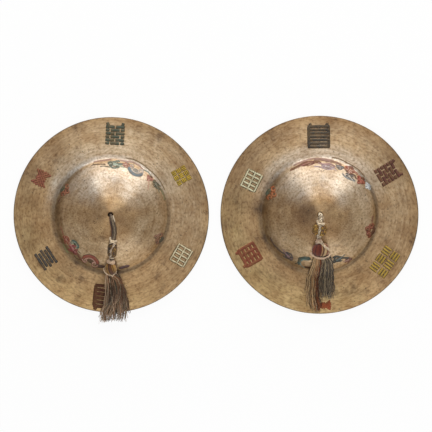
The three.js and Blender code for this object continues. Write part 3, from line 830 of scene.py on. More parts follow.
def makeThong(side):
    # it comes out of the lower right of the hole, so that the hole shows above it
    look, start = softLook[side], 2.6
    along = alongLine(start, tassels[side]["cordLength"])
    atHole = np.exp(-(along - start) / 3.5)
    x, z, swell = 1.1 * atHole, -2.2 * atHole, 1 - 0.32 * atHole
    half = (3.9 + 0.15 * np.sin(along * 0.7)) * swell
    shapes = [sweep(laid(side, x, along, z), half, look["thong"], 14, flat=0.62)]
    for aside, half, tint, height, end in look["strips"]:
        sway = (aside + 0.4 * np.sin(along * 0.21 + aside * 2)) * swell
        above = z + 2.1 * height * swell + 0.25 * np.sin(along * 0.5 + aside)
        half = half * (1 + 0.1 * np.sin(along * 0.9 + aside))
        shapes.append(sweep(laid(side, x + sway, along, above)[:end], half[:end], tint, 10, flat=0.55))
    return makePiece(side, "HideThong", shapes, smokedHide, "handle", "cord")


def makeCottonCord(side):
    along = alongLine(0, tassels[side]["cordLength"], 0.8)
    path = laid(side, 0.35 * np.sin(along * 0.8) + 0.25 * np.sin(along * 1.9 + 1), along, 0)
    lumps = 3.0 + 0.22 * np.sin(along * 1.1 + 0.5) + 0.2 * np.sin(along * 2.7)
    shapes = twisted(path, lumps, 3, 8.5, softLook[side]["cotton"], 10)
    # thin dark strands in the grooves between the plies: painted shade
    shapes += twisted(path, lumps * 1.02, 3, 8.5, "#4f463c", 6, share=0.17, start=1.05)
    return makePiece(side, "CottonCord", shapes, cottonThread, "handle", "cord")


def makeFluff(side):
    # loose cotton fibres where the cord leaves the hole
    chance = np.random.default_rng(5)
    shapes = []
    for _ in range(90):
        at, angle = chance.uniform(3.5, 16), chance.uniform(-0.3, math.pi + 0.3)
        reach, bend = chance.uniform(2.2, 5.2), chance.normal(0, 1.6, 2)
        u = np.linspace(0, 1, 7)
        out = 2.3 + reach * u * (1 - 0.35 * u)
        path = laid(side, np.cos(angle) * out + bend[0] * u ** 2, at + bend[1] * u ** 2 * 1.5,
                    np.maximum(np.sin(angle) * out * 0.6, -1.6))
        shapes.append(sweep(aboveBronze(side, path, 0.2), 0.26 * (1 - 0.5 * u),
                            str(chance.choice(softLook[side]["cotton"])), 5))
    return makePiece(side, "CottonFluff", shapes, cottonThread, "handle")


def makeHitch(side):
    t, look = tassels[side], softLook[side]
    start, end = t["hitchStart"], t["hitchEnd"]
    half, high = t["hitchWidth"] / 2, t["hitchHeight"] / 2
    shapes = [
        loft(side, [(half - 2.6, start + 0.4), (half - 1.5, start + 1.1), (half - 1.5, end - 1.1),
                    (half - 2.6, end - 0.4)], high / half, look["hitchCore"], 28),
        wound(side, start + 0.2, end - look["hitchShort"], half - 0.2, high - 0.2, 0.75, look["hitchTurns"],
              look["hitch"], 0.3, 3)]
    # the thread's ends cross over and stand out at the sides
    for lean, lift, reach in ((1, 0.3, 1.15), (-1, 0.7, 1.0), (0.35, 1.1, 0.8)):
        u = np.linspace(-1, 1, 18) * reach
        along = (start + end) / 2 + lean * u * (end - start) * 0.42 + 0.3 * u ** 2
        path = laid(side, u * (half - 1.0), along,
                    (high - 0.5 + lift) * np.sqrt(np.clip(1 - 0.66 * u ** 2, 0.05, 1)))
        shapes += twisted(path, 0.95, 2, 3.6, look["hitch"])
    for x, along in ((half - 0.3, start + 1.2), (half - 1.1, start + 2.2), (-half + 0.8, start - 1.6)):
        a = circle(18)      # small knots of the thread
        path = laid(side, x + np.cos(a) * 0.9, along + np.sin(a) * 0.9, high * 0.55)
        shapes += twisted(path, 0.8, 2, 3, look["hitch"], loop=True)
    return makePiece(side, "ThreadHitch", shapes, cottonThread, "handle", "hitch")


def makeSleeve(side):
    t, look, sides = tassels[side], softLook[side], 120
    start, end, half = t["sleeveStart"], t["sleeveEnd"], t["sleeveWidth"] / 2
    flatness, pleats = t["sleeveHeight"] / t["sleeveWidth"], look["pleats"]
    shape = [(0.55, 0.0), (0.74, 0.02), (0.84, 0.07), (0.93, 0.18), (1.0, 0.32), (1.0, 0.5), (0.99, 0.66),
             (0.93, 0.8), (0.8, 0.92), (0.62, 0.975), (0.5, 1.0)]
    rows = [(i / (len(shape) - 1), half * wide, start + share * (end - start))
            for i, (wide, share) in enumerate(shape)]
    down = np.linspace(0, 1, 34)
    profile = np.stack(readOff(rows, down), axis=1)

    def pleated(angles, distance):
        share = (distance - start) / (end - start)
        gather = 0.5 + 0.9 * abs(share - 0.5) * 2
        return (1 + look["pleatDepth"] * gather * np.sin(angles * pleats + 1.4 * np.sin(share * 5))
                + 0.02 * np.sin(angles * 5 + share * 7))

    body = loft(side, profile, flatness, 1.0, sides, pleated)
    angles, down = circle(sides), down[:, None]
    # painted shade: the sleeve darkens towards its left side and in its pleats
    dark = np.clip((-np.cos(angles) - look["leftShadeStart"]) * 3, 0, 1) * 0.5
    foldShade = 0.5 + 0.5 * np.sin(angles * pleats + 1.4 * np.sin(down * 5))      # painted shade in the hollows of the pleats
    woven = 0.5 + 0.5 * np.sin(down * look["rows"] + 2 * np.sin(angles * 2))
    shade = (1 - dark) * (0.5 + 0.5 * foldShade ** 0.6) * (0.62 + 0.5 * woven)
    body[2][:-2, :3] *= shade.reshape(-1, 1)
    sleeve = makePiece(side, "BrocadeSleeve", [body], silkBrocade(side), "handle", "sleeve")
    # the white thread that runs over the sleeve's middle
    u = np.linspace(0, 1, 40)
    along = start - 1.2 + u * (end - start + 2.4)
    wide = np.interp(along, profile[:, 1], profile[:, 0])
    shapes = []
    for i, (places, thick, tints, pitch) in enumerate(look["threads"]):
        x = np.interp(u, (0, 0.4, 1), places) + 0.4 * np.sin(u * 11 + 2 * i)
        high = wide * flatness * np.sqrt(np.clip(1 - (x / wide) ** 2, 0, 1))
        swell = thick * (1 + 0.22 * np.sin(u * 17 + i))
        path = laid(side, x, along, high + thick * 0.7)
        shapes += twisted(path, swell, 3, pitch, tints)
        # thin dark strands in the grooves between the plies: painted shade
        shapes += twisted(path, swell * 1.02, 3, pitch, "#57493f", 5, share=0.16, start=1.05)
    # the same thread binds the sleeve's end
    shapes.append(wound(side, end - 1.2, end + 2.6, 3.9, 3.7, 0.7, 3, look["hitch"], 0.2, 5))
    return sleeve, makePiece(side, "SleeveThread", shapes, cottonThread, "handle")


def makeCollar(side):
    t, look = tassels[side], softLook[side]
    start, end = t["collarStart"], t["collarEnd"]
    half, share = t["collarWidth"] / 2, t["collarHeight"] / t["collarWidth"]
    shapes = [loft(side, [(half * 0.45, start), (half * 0.7, start + 0.8), (half * 0.86, start + 2.4),
                          (half * 0.86, end - 1.4), (half * 0.7, end)], share, look["collar"], 32)]
    rows = look["collarRows"]
    thread = (end - start) / rows / 2 * 1.12
    chance = np.random.default_rng(11)
    angle = circle(44)
    for row in range(rows):
        at = start + thread + (end - start - 2 * thread) * row / (rows - 1)
        wide = half * min(1.0, 0.62 + 0.5 * (at - start) / (end - start) * 2) - thread
        lump = 1 + 0.13 * np.sin(angle * chance.integers(2, 5) + chance.uniform(0, 6))
        path = laid(side, np.cos(angle) * wide, at + 0.5 * np.sin(angle * chance.integers(1, 4) + row),
                    np.sin(angle) * wide * share)
        tints = [look["collarShade"] if row % 2 else look["collar"], look["collar"]]
        shapes += twisted(path, thread * lump, 2, 3.4, tints, loop=True)
    return makePiece(side, "WoundCollar", shapes, cottonThread, "tassel", "collar")


def makeHead(side):
    t, look = tassels[side], softLook[side]
    middle, length = (t["headStart"] + t["headEnd"]) / 2, t["headLength"]
    half, high = t["headWidth"] / 2 + look["headFuller"], t["headHeight"] / 2

    def onBall(polar, turn, sunk, short):
        # a ball that is fuller at its ends than an ellipsoid
        reach = np.sin(polar) ** 0.62
        return (np.cos(turn) * (half - sunk) * reach, middle - np.cos(polar) * (length / 2 - short),
                np.sin(turn) * (high - sunk) * reach)

    inner = onBall(np.linspace(0.12, math.pi - 0.12, 24), 0, 1.3, 0.8)[:2]
    shapes = [loft(side, np.transpose(inner), (high - 1.3) / (half - 1.3), look["headCore"], 36)]
    radius = 1.35
    chance = np.random.default_rng(17)
    polar = np.linspace(0.16, math.pi - 0.16, 30)
    for k in range(look["headStrands"]):
        around = (k + 0.5) / look["headStrands"] * 2 * math.pi
        path = laid(side, *onBall(polar, around + look["headTwist"] * (polar / math.pi - 0.5), radius, 0.6))
        if side == "left":      # gold silk with a dark band that runs aslant over the ball
            kind = "shade" if abs(math.sin(around * 1.5 - 2.2)) < 0.42 else "gold"
        else:
            kind = "reds" if math.cos(around) < 0.12 else "tans"
        shapes.append(sweep(path, radius * (0.45 + 0.55 * np.sin(polar) ** 0.62),
                            str(chance.choice(look[kind])), 8))
    head = makePiece(side, "KnottedHead", shapes, silkCord, "tassel", "tassel_head",
                     look["headAside"])
    net = []
    if side == "left":
        polar = np.linspace(0.3, math.pi - 0.35, 30)
        for k in range(5):
            turn = k / 5 * 2 * math.pi + 0.9 - 1.3 * (polar / math.pi - 0.5)
            net.append(sweep(laid(side, *onBall(polar, turn, 0, 0)), 0.4, look["shade"][k % 2], 6))
    else:
        u = np.linspace(0, 1, 26)
        for start, bend in ((-2.0, 0.0), (3.0, 1.8)):
            x = start + (12.4 - start) * u ** 1.1 - bend * np.sin(u * 3)
            along = t["collarStart"] + 2.2 + (14.4 - bend) * u
            inside = 1 - (x / (t["headWidth"] / 2)) ** 2 - ((along - middle) / (length / 2)) ** 2
            floor = readOff([(t["collarStart"], 4.6), (t["collarEnd"] + 1, 4.6), (t["headStart"] + 3, 0)],
                            along)[0]
            z = np.maximum(np.sqrt(np.clip(inside, 0.02, 1)) * high, floor)
            net += twisted(laid(side, x, along, z + 0.5), 1.25, 2, 4.2, ["#e8dcce", "#cdbfae"])
    return head, makePiece(side, "HeadCords", net, cottonThread, "tassel", aside=look["headAside"])


def makeRing(side):
    t, look = tassels[side], softLook[side]
    thick = t["ringThickness"] / 2 * 0.85
    angle = circle(72)
    along = t["headEnd"] + readOff(look["ringDrop"], np.cos(angle))[0]
    middle = (t["headStart"] + t["headEnd"]) / 2
    reach = np.clip(1 - ((along - middle) / (t["headLength"] / 2)) ** 2, 0, 1) ** 0.4
    wide = np.maximum(reach * (t["headWidth"] / 2 + look["headFuller"]), t["boundTop"]) + thick * 0.9
    x = np.cos(angle) * np.maximum(wide, look["ringWidth"])
    high = np.maximum(reach * t["headHeight"] / 2, t["boundTop"] * t["skirtTopHeight"] / t["skirtTopWidth"])
    z = np.sin(angle) * (high + thick * 0.9)
    z = np.where(z < 0, z * 0.9, z)
    path = aboveBronze(side, laid(side, x, along, z), thick)
    shapes = twisted(path, thick, 2, 5, [look["ring"], look["collar"]], 9, loop=True)
    if side == "right":     # two rows of the same cord
        path = aboveBronze(side, laid(side, x * 0.93, along + 1.9, z * 0.93), thick * 0.8)
        shapes += twisted(path, thick * 0.8, 2, 4.6, look["ring"], 8, loop=True)
    return makePiece(side, "HeadRing", shapes, cottonThread, "tassel", "head_ring",
                     look["headAside"])


skirtLook = {
    "left": {
        "strands": 330, "seed": 31, "radius": 0.5, "shorter": 4.4, "locks": 17, "fan": (-0.15, 0.7),
        "stray": 4.2, "curl": 1.3, "mixing": 0.06,
        "edges": [      # share of the length, then the left and right edges, mm beside the line
            (0, -6, 8), (0.07, -7.4, 11.5), (0.17, -8.6, 15), (0.32, -10.5, 17), (0.45, -12, 18.5),
            (0.65, -14, 20), (0.8, -15.5, 20.5), (1, -15, 18)],
        "shade": [(0, 0.95), (0.12, 1.15), (0.25, 1.1), (0.36, 0.62), (0.56, 0.6), (0.8, 0.95), (1, 1.05)],
        # place across the skirt, then the shortest and longest strands as shares of its length
        "stretch": [(-1, 0.93, 1.04), (-0.6, 0.86, 1.03), (1, 0.82, 1.03)],
        # place across the skirt from which these colours lie, those of most strands and of the light ones,
        # which go to strands on top as a painted highlight
        "kinds": [(-1, ["#6b4c35", "#7d593e", "#8c6448", "#523b29", "#99745a", "#5f5a4a", "#4a4236"],
                   ["#ab8b70", "#c6a78d", "#9a785e", "#ecd9c8", "#b9ad97"])],
        "coreShade": "#2f241b", "coreLength": 0.6, "topShare": 0.34,
        "ends": "#e6d6c6", "paling": 0.75,
    },
    "right": {
        "strands": 370, "seed": 47, "radius": 0.48, "shorter": 0.0, "locks": 20, "fan": (-0.1, 0.1),
        "stray": 2.6, "curl": 0.7, "mixing": 0.13,
        "edges": [
            (0, -8.5, 13), (0.06, -9.5, 17.5), (0.15, -10.5, 20.5), (0.3, -13, 22), (0.5, -17, 23),
            (0.8, -18, 23), (1, -12, 20)],
        "shade": [(0, 0.9), (0.15, 1.1), (0.4, 1.05), (0.55, 0.85), (0.75, 0.85), (1, 1.15)],
        "stretch": [(-1, 0.62, 0.94), (-0.75, 0.84, 1.0), (-0.45, 0.93, 1.05), (-0.2, 0.92, 1.04),
                    (-0.1, 0.64, 0.8), (1, 0.62, 0.84)],
        "kinds": [(-1, ["#bd9c76", "#a88863", "#c8ab85", "#8b7860"], ["#d8bd96", "#e4cda8", "#bda17c"]),
                  (-0.52, ["#5e3319", "#4c2713", "#7a411c", "#643620"], ["#9a5722", "#b0682c", "#7a451f"]),
                  (-0.12, ["#5f564b", "#4a433c", "#73685a", "#45423f", "#5e4d3d", "#4d4f50"],
                   ["#9c8f7d", "#b5a88f", "#8a8175", "#c2b6a2"])],
        "coreShade": "#332a23", "coreLength": 0.5, "topShare": 0.4,
        "ends": "#d9cbb4", "paling": 0.3,
    },
}


def packedYarn(side, start, length, thickness):
    # the yarn under the strands, which thins out before they end; its dark colour is painted shade under them
    look = skirtLook[side]
    share, ring = np.linspace(0, look["coreLength"], 18), np.ones(40)
    left, right = readOff(look["edges"], share)
    fade = 0.8 * np.sqrt(np.maximum(1 - (share / share[-1]) ** 3, 0.02))
    deep = readOff(thickness, share)[0] * fade * 0.8
    yarn = tube(side, np.outer((right - left) / 2 * fade, ring), start + share * length, np.outer(deep, ring),
                look["coreShade"], (left + right) / 2)
    aboveBronze(side, yarn[0], 0.1)
    return yarn


def makeSkirt(side):
    t, look = tassels[side], skirtLook[side]
    chance = np.random.default_rng(look["seed"])
    start, length = t["skirtStart"], t["skirtLength"] - look["shorter"]
    count, high = look["locks"], t["skirtTopHeight"] / 2
    locks = [(chance.uniform(0, 6.28), chance.normal(0, 1.4), chance.uniform(0.8, 1.25))
             for _ in range(count)]
    u = np.linspace(0, 1, 26)
    ends = np.concatenate([[0], u, [1]])
    # painted light and shade along the strands' length
    shade = readOff(look["shade"], ends)[0]
    thickness = readOff([(0, t["boundTop"] * 0.7), (0.06, high), (0.2, high * 0.85),
                         (1, t["skirtEndHeight"] / 2)], u)[0]
    shapes = []
    for _ in range(look["strands"]):
        a, b = chance.uniform(-1, 1), chance.uniform(-1, 1)
        b = math.copysign(abs(b) ** 0.7, b) * math.sqrt(1 - 0.75 * a * a)
        phase, lean, wavy = locks[int((a + 1) / 2 * (count - 1) + chance.uniform(0, 1)) % count]
        wisp = chance.uniform() < 0.05
        stretch = chance.uniform(*readOff(look["stretch"], a)) + (0.05 if wisp else 0)
        left, right = readOff(look["edges"], np.clip(u * stretch, 0, 1.08))
        # neighbouring strands draw together into locks, and the whole fans out to the left
        target = round((a + 1) * count / 2) / count * 2 - 1
        fan = np.sin(math.pi * np.clip(u / 0.75, 0, 1)) - 1.6 * u ** 2
        here = a + (target - a) * 0.45 * u + chance.uniform(*look["fan"]) * (1 - a * a) * fan
        x = (left + right) / 2 + np.clip(here, -1.02, 1.02) * (right - left) / 2 + lean * u ** 2
        x = x + 0.65 * np.sin(u * length / (6.5 * wavy) * 2 + phase + chance.normal(0, 0.4)) * (0.3 + u)
        x = x + chance.normal(0, 1.0) * u ** 2.2 * look["stray"] * (2 if wisp else 0.8)
        x = x + look["curl"] * np.sin(u * 8 + phase * 3) * u ** 3
        z = b * thickness * 0.9 + 0.3 * np.sin(u * 9 + phase * 2) * u
        radius = look["radius"] * (0.6 if wisp else chance.uniform(0.7, 1.2)) * (1 - 0.45 * u)
        path = aboveBronze(side, laid(side, x, start + u * length * stretch, z), radius)
        edge = a + chance.normal(0, look["mixing"])
        _, body, top = [k for k in look["kinds"] if edge >= k[0] or k is look["kinds"][0]][-1]
        # the light colours go only to strands on top: a painted highlight
        light = wisp or (b > 0.3 and chance.uniform() < look["topShare"])
        strand = sweep(path, radius * (0.8 if light else 1), str(chance.choice(top if light else body)), 5)
        deep = 0.36 if b < 0.05 and not light else 1        # painted shade: the lower strands are darkened
        tints = strand[2][:-2, :3]
        tints *= np.repeat(shade * chance.uniform(0.85, 1.15) * deep, 5)[:, None]
        # some strands bleach towards their ends
        bleached = chance.uniform(0, look["paling"]) ** 2 * np.clip(ends * 1.7 - 0.7, 0, 1)
        tints += (np.array(linear(look["ends"])[:3]) - tints) * np.repeat(bleached, 5)[:, None]
        shapes.append(strand)
    shapes.append(packedYarn(side, start, length, np.column_stack([u, thickness])))
    return makePiece(side, "YarnSkirt", shapes, woolYarn, "tassel", "tassel_skirt")


for side in cymbals:
    length = tassels[side]["cordLength"]
    left = side == "left"
    cord, thickness = (makeThong(side), 0.007) if left else (makeCottonCord(side), 0.0058)
    onCord = [makeHitch(side), *makeSleeve(side), makeCollar(side), *makeHead(side), makeRing(side)]
    skirt = makeSkirt(side)
    onCord.append(skirt if left else makeFluff(side))
    run = laid(side, 0, alongLine(0, length, 1.5), 0) * mm
print("cords and tassels made")


# paint on the bronze: frets of bars round the rim, cloud scrolls round the dome's foot

paintLook = {
    "lift": 0.16, "outlineLift": 0.07, "sunk": 0.15,    # mm above and below the bronze
    "step": 1.4,            # mm along a stroke between points
    "wear": 0.42, "wearSize": 5,
    "bareBronze": "#94754c",
}
# azimuth, radius, width and height in mm, pattern, colour, the outline's colour, stroke, and how much
# wider the outline is
rimFrets = {
    "left": [
        (87.3, 121.5, 29, 29, "bricks", "#46544a", "#28302a", 4.0, 0.7),
        (29.3, 122.5, 25, 25, "weave", "#c0a238", "#4a3a1e", 2.1, 1.1),
        (-30.2, 123.5, 29, 25, "combs", "#d8ceac", "#51452f", 2.4, 1.7),
        (264.3, 125.0, 28, 36, "ladder", "#4f1f1a", "#2b110e", 4.9, 0.6),
        (213.7, 119.8, 30, 24, "bars", "#30393f", "#1b2022", 3.6, 0.7),
        (152.6, 120.8, 24, 23, "lattice", "#8a4c3d", "#5d3024", 2.6, 0.9),
    ],
    "right": [
        (90.5, 119.2, 34, 35, "ladder", "#3a3b3a", "#222322", 4.1, 0.5),
        (31.3, 121.0, 29, 31, "bricks", "#552a2b", "#341a19", 4.3, 0.7),
        (-35.7, 125.5, 46, 36, "weave", "#b0923a", "#4c4126", 2.9, 1.4),
        (272.4, 138.5, 24, 14, "lattice", "#a34a2a", "#743320", 1.9, 0.6),
        (209.9, 122.2, 31, 30, "grid", "#7d3a29", "#c9a86c", 4.8, 0.4),
        (153.3, 115.8, 29, 25, "combs", "#d6d0ae", "#474c3c", 2.6, 1.7),
    ],
}
# kind of cloud, azimuth, radius, width, height, turn and its colours: wide, pale, dark
cloudScrolls = {
    "left": [
        ("tuft", 152, 78.5, 21, 14, 1, "#74402d", "#9a6250", "#38463c"),
        ("flame", 86, 77, 25, 14, -1, "#6b7d74", "#a9b8a8", "#48554f"),
        ("flame", 73.5, 79.5, 12, 9, 1, "#a8776a", "#c9a798", "#8a6258"),
        ("bowl", 61, 77.5, 23, 14, 1, "#6f8088", "#cdbfb2", "#98968f"),
        ("tuft", 43.5, 80, 11, 10, -1, "#a4675f", "#c39488", "#6f4a40"),
        ("flame", 34, 82.5, 22, 9, -1, "#545a4c", "#6f7466", "#3d4238"),
        ("tuft", 333.5, 80, 19, 14, 1, "#85604f", "#a27a68", "#474b42"),
        ("bowl", 246, 77.5, 24, 16, -1, "#9c5249", "#cd9f90", "#5b4a3e"),
        ("flame", 222.5, 78, 19, 13, -1, "#9c4650", "#bd7f80", "#6b3f3e"),
        ("bowl", 219.5, 71, 15, 8, 1, "#4b6660", "#9fae9c", "#3d5049"),
        ("flame", 209, 78, 17, 10, 1, "#a45a4c", "#bd8474", "#7c4a3c"),
    ],
    "right": [
        ("tuft", 156, 79.5, 23, 16, 1, "#8b4a2b", "#a86a48", "#3f4c40"),
        ("flame", 102, 80.5, 34, 8, 1, "#7a4640", "#a2766a", "#633c35"),
        ("flame", 81, 74, 24, 10, -1, "#a8929a", "#c9b9ba", "#8d7a7c"),
        ("flame", 67, 79, 15, 9, 1, "#75787a", "#9a9c9c", "#5c5a58"),
        ("tuft", 56, 81.5, 17, 13, -1, "#a05446", "#cfae9e", "#7d5048"),
        ("flame", 52, 73.5, 19, 9, -1, "#686d72", "#d8cec2", "#44464a"),
        ("tuft", 40, 81, 15, 13, -1, "#8a3c32", "#a8645a", "#592a24"),
        ("tuft", 30.5, 85, 14, 9, -1, "#b0b6b8", "#d8dad8", "#8b9296"),
        ("tuft", 343, 79.5, 24, 16, 1, "#7a382c", "#9c6456", "#4c2620"),
        ("flame", 302.5, 81.5, 14, 9, -1, "#93685a", "#b8968a", "#6d4c42"),
        ("flame", 292, 73.5, 21, 10, 1, "#475659", "#74878a", "#343c40"),
        ("flame", 233, 79, 22, 11, -1, "#4a4c52", "#8a727a", "#3a3a40"),
    ],
}
# azimuth and radius along a long thin brush line, its width and colour
brushLines = {
    "left": [
        ([(112, 81), (107, 80), (101, 78.5), (96, 77)], 1.5, "#564a40"),
        ([(109, 85), (103, 84), (97, 83.5), (90, 84.5)], 2.4, "#a8877a"),
        ([(76, 89.5), (68, 91), (60, 91), (50, 90), (38, 90.5), (24, 90)], 1.5, "#8d7655"),
        ([(91, 72), (97, 74.5), (103, 75.5)], 1.6, "#6a695c"),
        ([(81, 84), (75, 84.5), (68, 86.5), (60, 86), (54, 83)], 2.6, "#b3968a"),
        ([(72, 75), (70, 79), (66, 82)], 2.4, "#b98d80"),
        ([(44, 79), (40, 75), (37, 71), (34, 68)], 2.2, "#c4a18b"),
        ([(55, 84), (49, 86), (43, 84)], 2.0, "#8d9388"),
        ([(30, 84), (22, 85.5), (15, 84.5)], 2.8, "#706c50"),
        ([(290, 82.5), (285, 82), (278, 82.5)], 4.2, "#655058"),
        ([(263, 79), (257, 80.5), (252, 80)], 5.0, "#54403f"),
        ([(239, 83), (232, 80), (227, 77)], 3.4, "#7a5244"),
        ([(222, 88), (217, 87.5), (211, 86)], 2.2, "#7d8058"),
        ([(203, 79), (198, 78.5), (193, 79.5)], 1.6, "#94634f"),
        ([(159, 80), (163, 82), (167, 82.5)], 2.0, "#66493a"),
    ],
    "right": [
        ([(124, 81), (116, 80.5), (106, 81.5), (96, 80.5), (88, 80)], 3.6, "#74503f"),
        ([(118, 84.5), (108, 85), (98, 86), (86, 85.5), (74, 84.5)], 2.6, "#a3847a"),
        ([(78, 90), (70, 90.5), (62, 90), (50, 91), (40, 90.5)], 1.5, "#8a7052"),
        ([(97, 74), (91, 73), (84, 70.5), (77, 70)], 2.0, "#ab999c"),
        ([(96, 83), (89, 84), (81, 82.5), (73, 83.5), (66, 83)], 3.0, "#8f6f66"),
        ([(92, 79), (85, 77), (79, 79), (72, 76.5)], 2.8, "#a58482"),
        ([(60, 79), (54, 77), (49, 80), (44, 78)], 2.6, "#5b4844"),
        ([(72, 78), (66, 80.5), (59, 80), (52, 84), (46, 85)], 3.0, "#a0705f"),
        ([(62, 72), (56, 69.5), (49, 71), (43, 75)], 2.2, "#80888c"),
        ([(351, 81), (355, 80.5), (359, 81.5)], 2.0, "#7c5444"),
        ([(286, 69), (291, 67.5), (298, 74), (305, 80)], 2.8, "#4f595a"),
        # painted shadow: the dark brown beside the tassel on the dome's foot
        ([(271, 83), (264, 81.5), (258, 82), (253, 83.5)], 3.2, "#553a2a"),
        ([(259, 69), (254, 69), (248.5, 71.5), (246.5, 76), (247.5, 83)], 5.6, "#44625f"),
        ([(255, 84), (250, 82), (248, 77), (250, 73), (256, 71.5)], 1.3, "#84a099"),
        ([(243, 84), (246, 79), (244, 73), (251, 69)], 1.3, "#2f4340"),
        ([(226, 81), (219, 82), (211, 83), (204, 82.5)], 2.0, "#544a48"),
    ],
}


def onPlan(azimuth, radius):
    azimuth = np.radians(azimuth)
    return np.stack([np.cos(azimuth) * radius, np.sin(azimuth) * radius], axis=1)


def brushStroke(cymbal, line, width, tint, lift, ends, wander, seed):
    # a closed thin slab of paint that follows the bronze; line is in plan mm from the disc's middle
    distance = travelled(line)
    length = distance[-1]
    count = max(4, int(length / paintLook["step"]) + 1)
    even = np.linspace(0, length, count)
    middle = np.stack(readOff(np.column_stack([distance, line]), even), axis=1)
    along = directions(middle)
    chance = np.random.default_rng(seed + count)
    taper = np.minimum(1, np.minimum(even, length - even) / (width * 0.5 + 0.01) * 0.75 + ends)
    left, right = (width / 2 * taper + chance.normal(0, wander, count) for _ in range(2))
    aside = np.stack([-along[:, 1], along[:, 0]], axis=1)[:, None]
    flat = (middle[:, None] + aside * np.stack([-left, left * 0, right], axis=1)[:, :, None]).reshape(-1, 2)
    # the height here and a little to each side gives the bronze's slope
    here, east, west, north, south = (bronzeHeight(cymbal, flat[:, 0] + dx, flat[:, 1] + dy) for dx, dy in
                                      ((0, 0), (0.4, 0), (-0.4, 0), (0, 0.4), (0, -0.4)))
    normal = unit(np.stack([(west - east) / 0.8, (south - north) / 0.8, np.ones(len(flat))], axis=1))
    under, top = ((np.column_stack([flat, here]) + normal * height).reshape(count, 3, 3)
                  for height in (-paintLook["sunk"], lift))
    points = np.concatenate([under, top[:, ::-1]], axis=1).reshape(-1, 3)
    points[:, 0] += cymbal["centre"]
    cap = np.array([(5, 4, 1, 0), (4, 3, 2, 1)])
    return points, [ringFaces(count, 6), cap, cap[:, ::-1] + (count - 1) * 6], tinted(tint, len(points))


def fretLines(pattern, width, height, stroke):
    # strokes in mm, u round the disc and v outwards; every pattern is the same on both sides
    w, h = width / 2, height / 2
    rows = int(height / (stroke * 1.2))
    levels = [-h + stroke / 2 + (height - stroke) * i / (rows - 1) for i in range(rows)]
    lines = []
    if pattern == "bricks":
        for i, v in enumerate(levels):
            cuts = [(-1, -0.05), (0.05, 1)] if i % 2 else [(-1, -0.58), (-0.48, 0.48), (0.58, 1)]
            lines += [[(start * w, v), (end * w, v)] for start, end in cuts]
        lines += [[(s * w * 0.62, h - stroke), (s * w * 0.86, h + stroke * 1.1)] for s in (-1, 1)]
    elif pattern in ("ladder", "grid", "bars"):
        for i, v in enumerate(levels):
            reach = w * 0.8 if pattern == "bars" and i % 2 else w
            lines.append([(-reach, v), (reach, v)])
        for s in (-1, 1) if pattern != "bars" else ():
            lines.append([(s * w * 0.9, -h + stroke / 2), (s * w * 0.9, h - stroke / 2)])
            lines.append([(s * w * 0.6, h - stroke), (s * w * 0.8, h + stroke * 0.7)])
        if pattern == "grid":
            lines += [[(s * w * 0.3, -h + stroke / 2), (s * w * 0.3, h - stroke / 2)] for s in (-1, 1)]
    elif pattern == "combs":
        ties = int(width / (stroke * 2.2))
        lines = [[(-w, k * (h - stroke / 2)), (w, k * (h - stroke / 2))] for k in (-1, 0, 1)]
        for k in (-1, 1):
            for i in range(ties):
                u = -w + stroke / 2 + (width - stroke) * i / (ties - 1)
                lines.append([(u, k * stroke * 0.4), (u, k * (h - stroke))])
    elif pattern == "lattice":
        for k in (-2, -1, 0, 1, 2):
            reach, middle = 1 - abs(k) / 3, k * 0.36 * w
            lines += [[(middle - w * reach * 0.9, s * -h * reach), (middle + w * reach * 0.9, s * h * reach)]
                      for s in (-1, 1)]
    elif pattern == "weave":
        cell = width / 3
        for i in range(3):
            for j in range(max(2, round(height / cell))):
                u, v, b = -w + cell * (i + 0.5), -h + cell * (j + 0.5), cell * 0.42
                for a in (-cell * 0.3, 0, cell * 0.3):
                    lines.append([(u - b, v + a), (u + b, v + a)] if (i + j) % 2 else
                                 [(u + a, v - b), (u + a, v + b)])
    return lines


def volute(side, middle, size, turns):
    a = np.linspace(0, turns * 2 * math.pi, 26)
    r = size * (1 - 0.78 * a / a[-1])
    return side * (middle + np.cos(a) * r), np.sin(a) * r


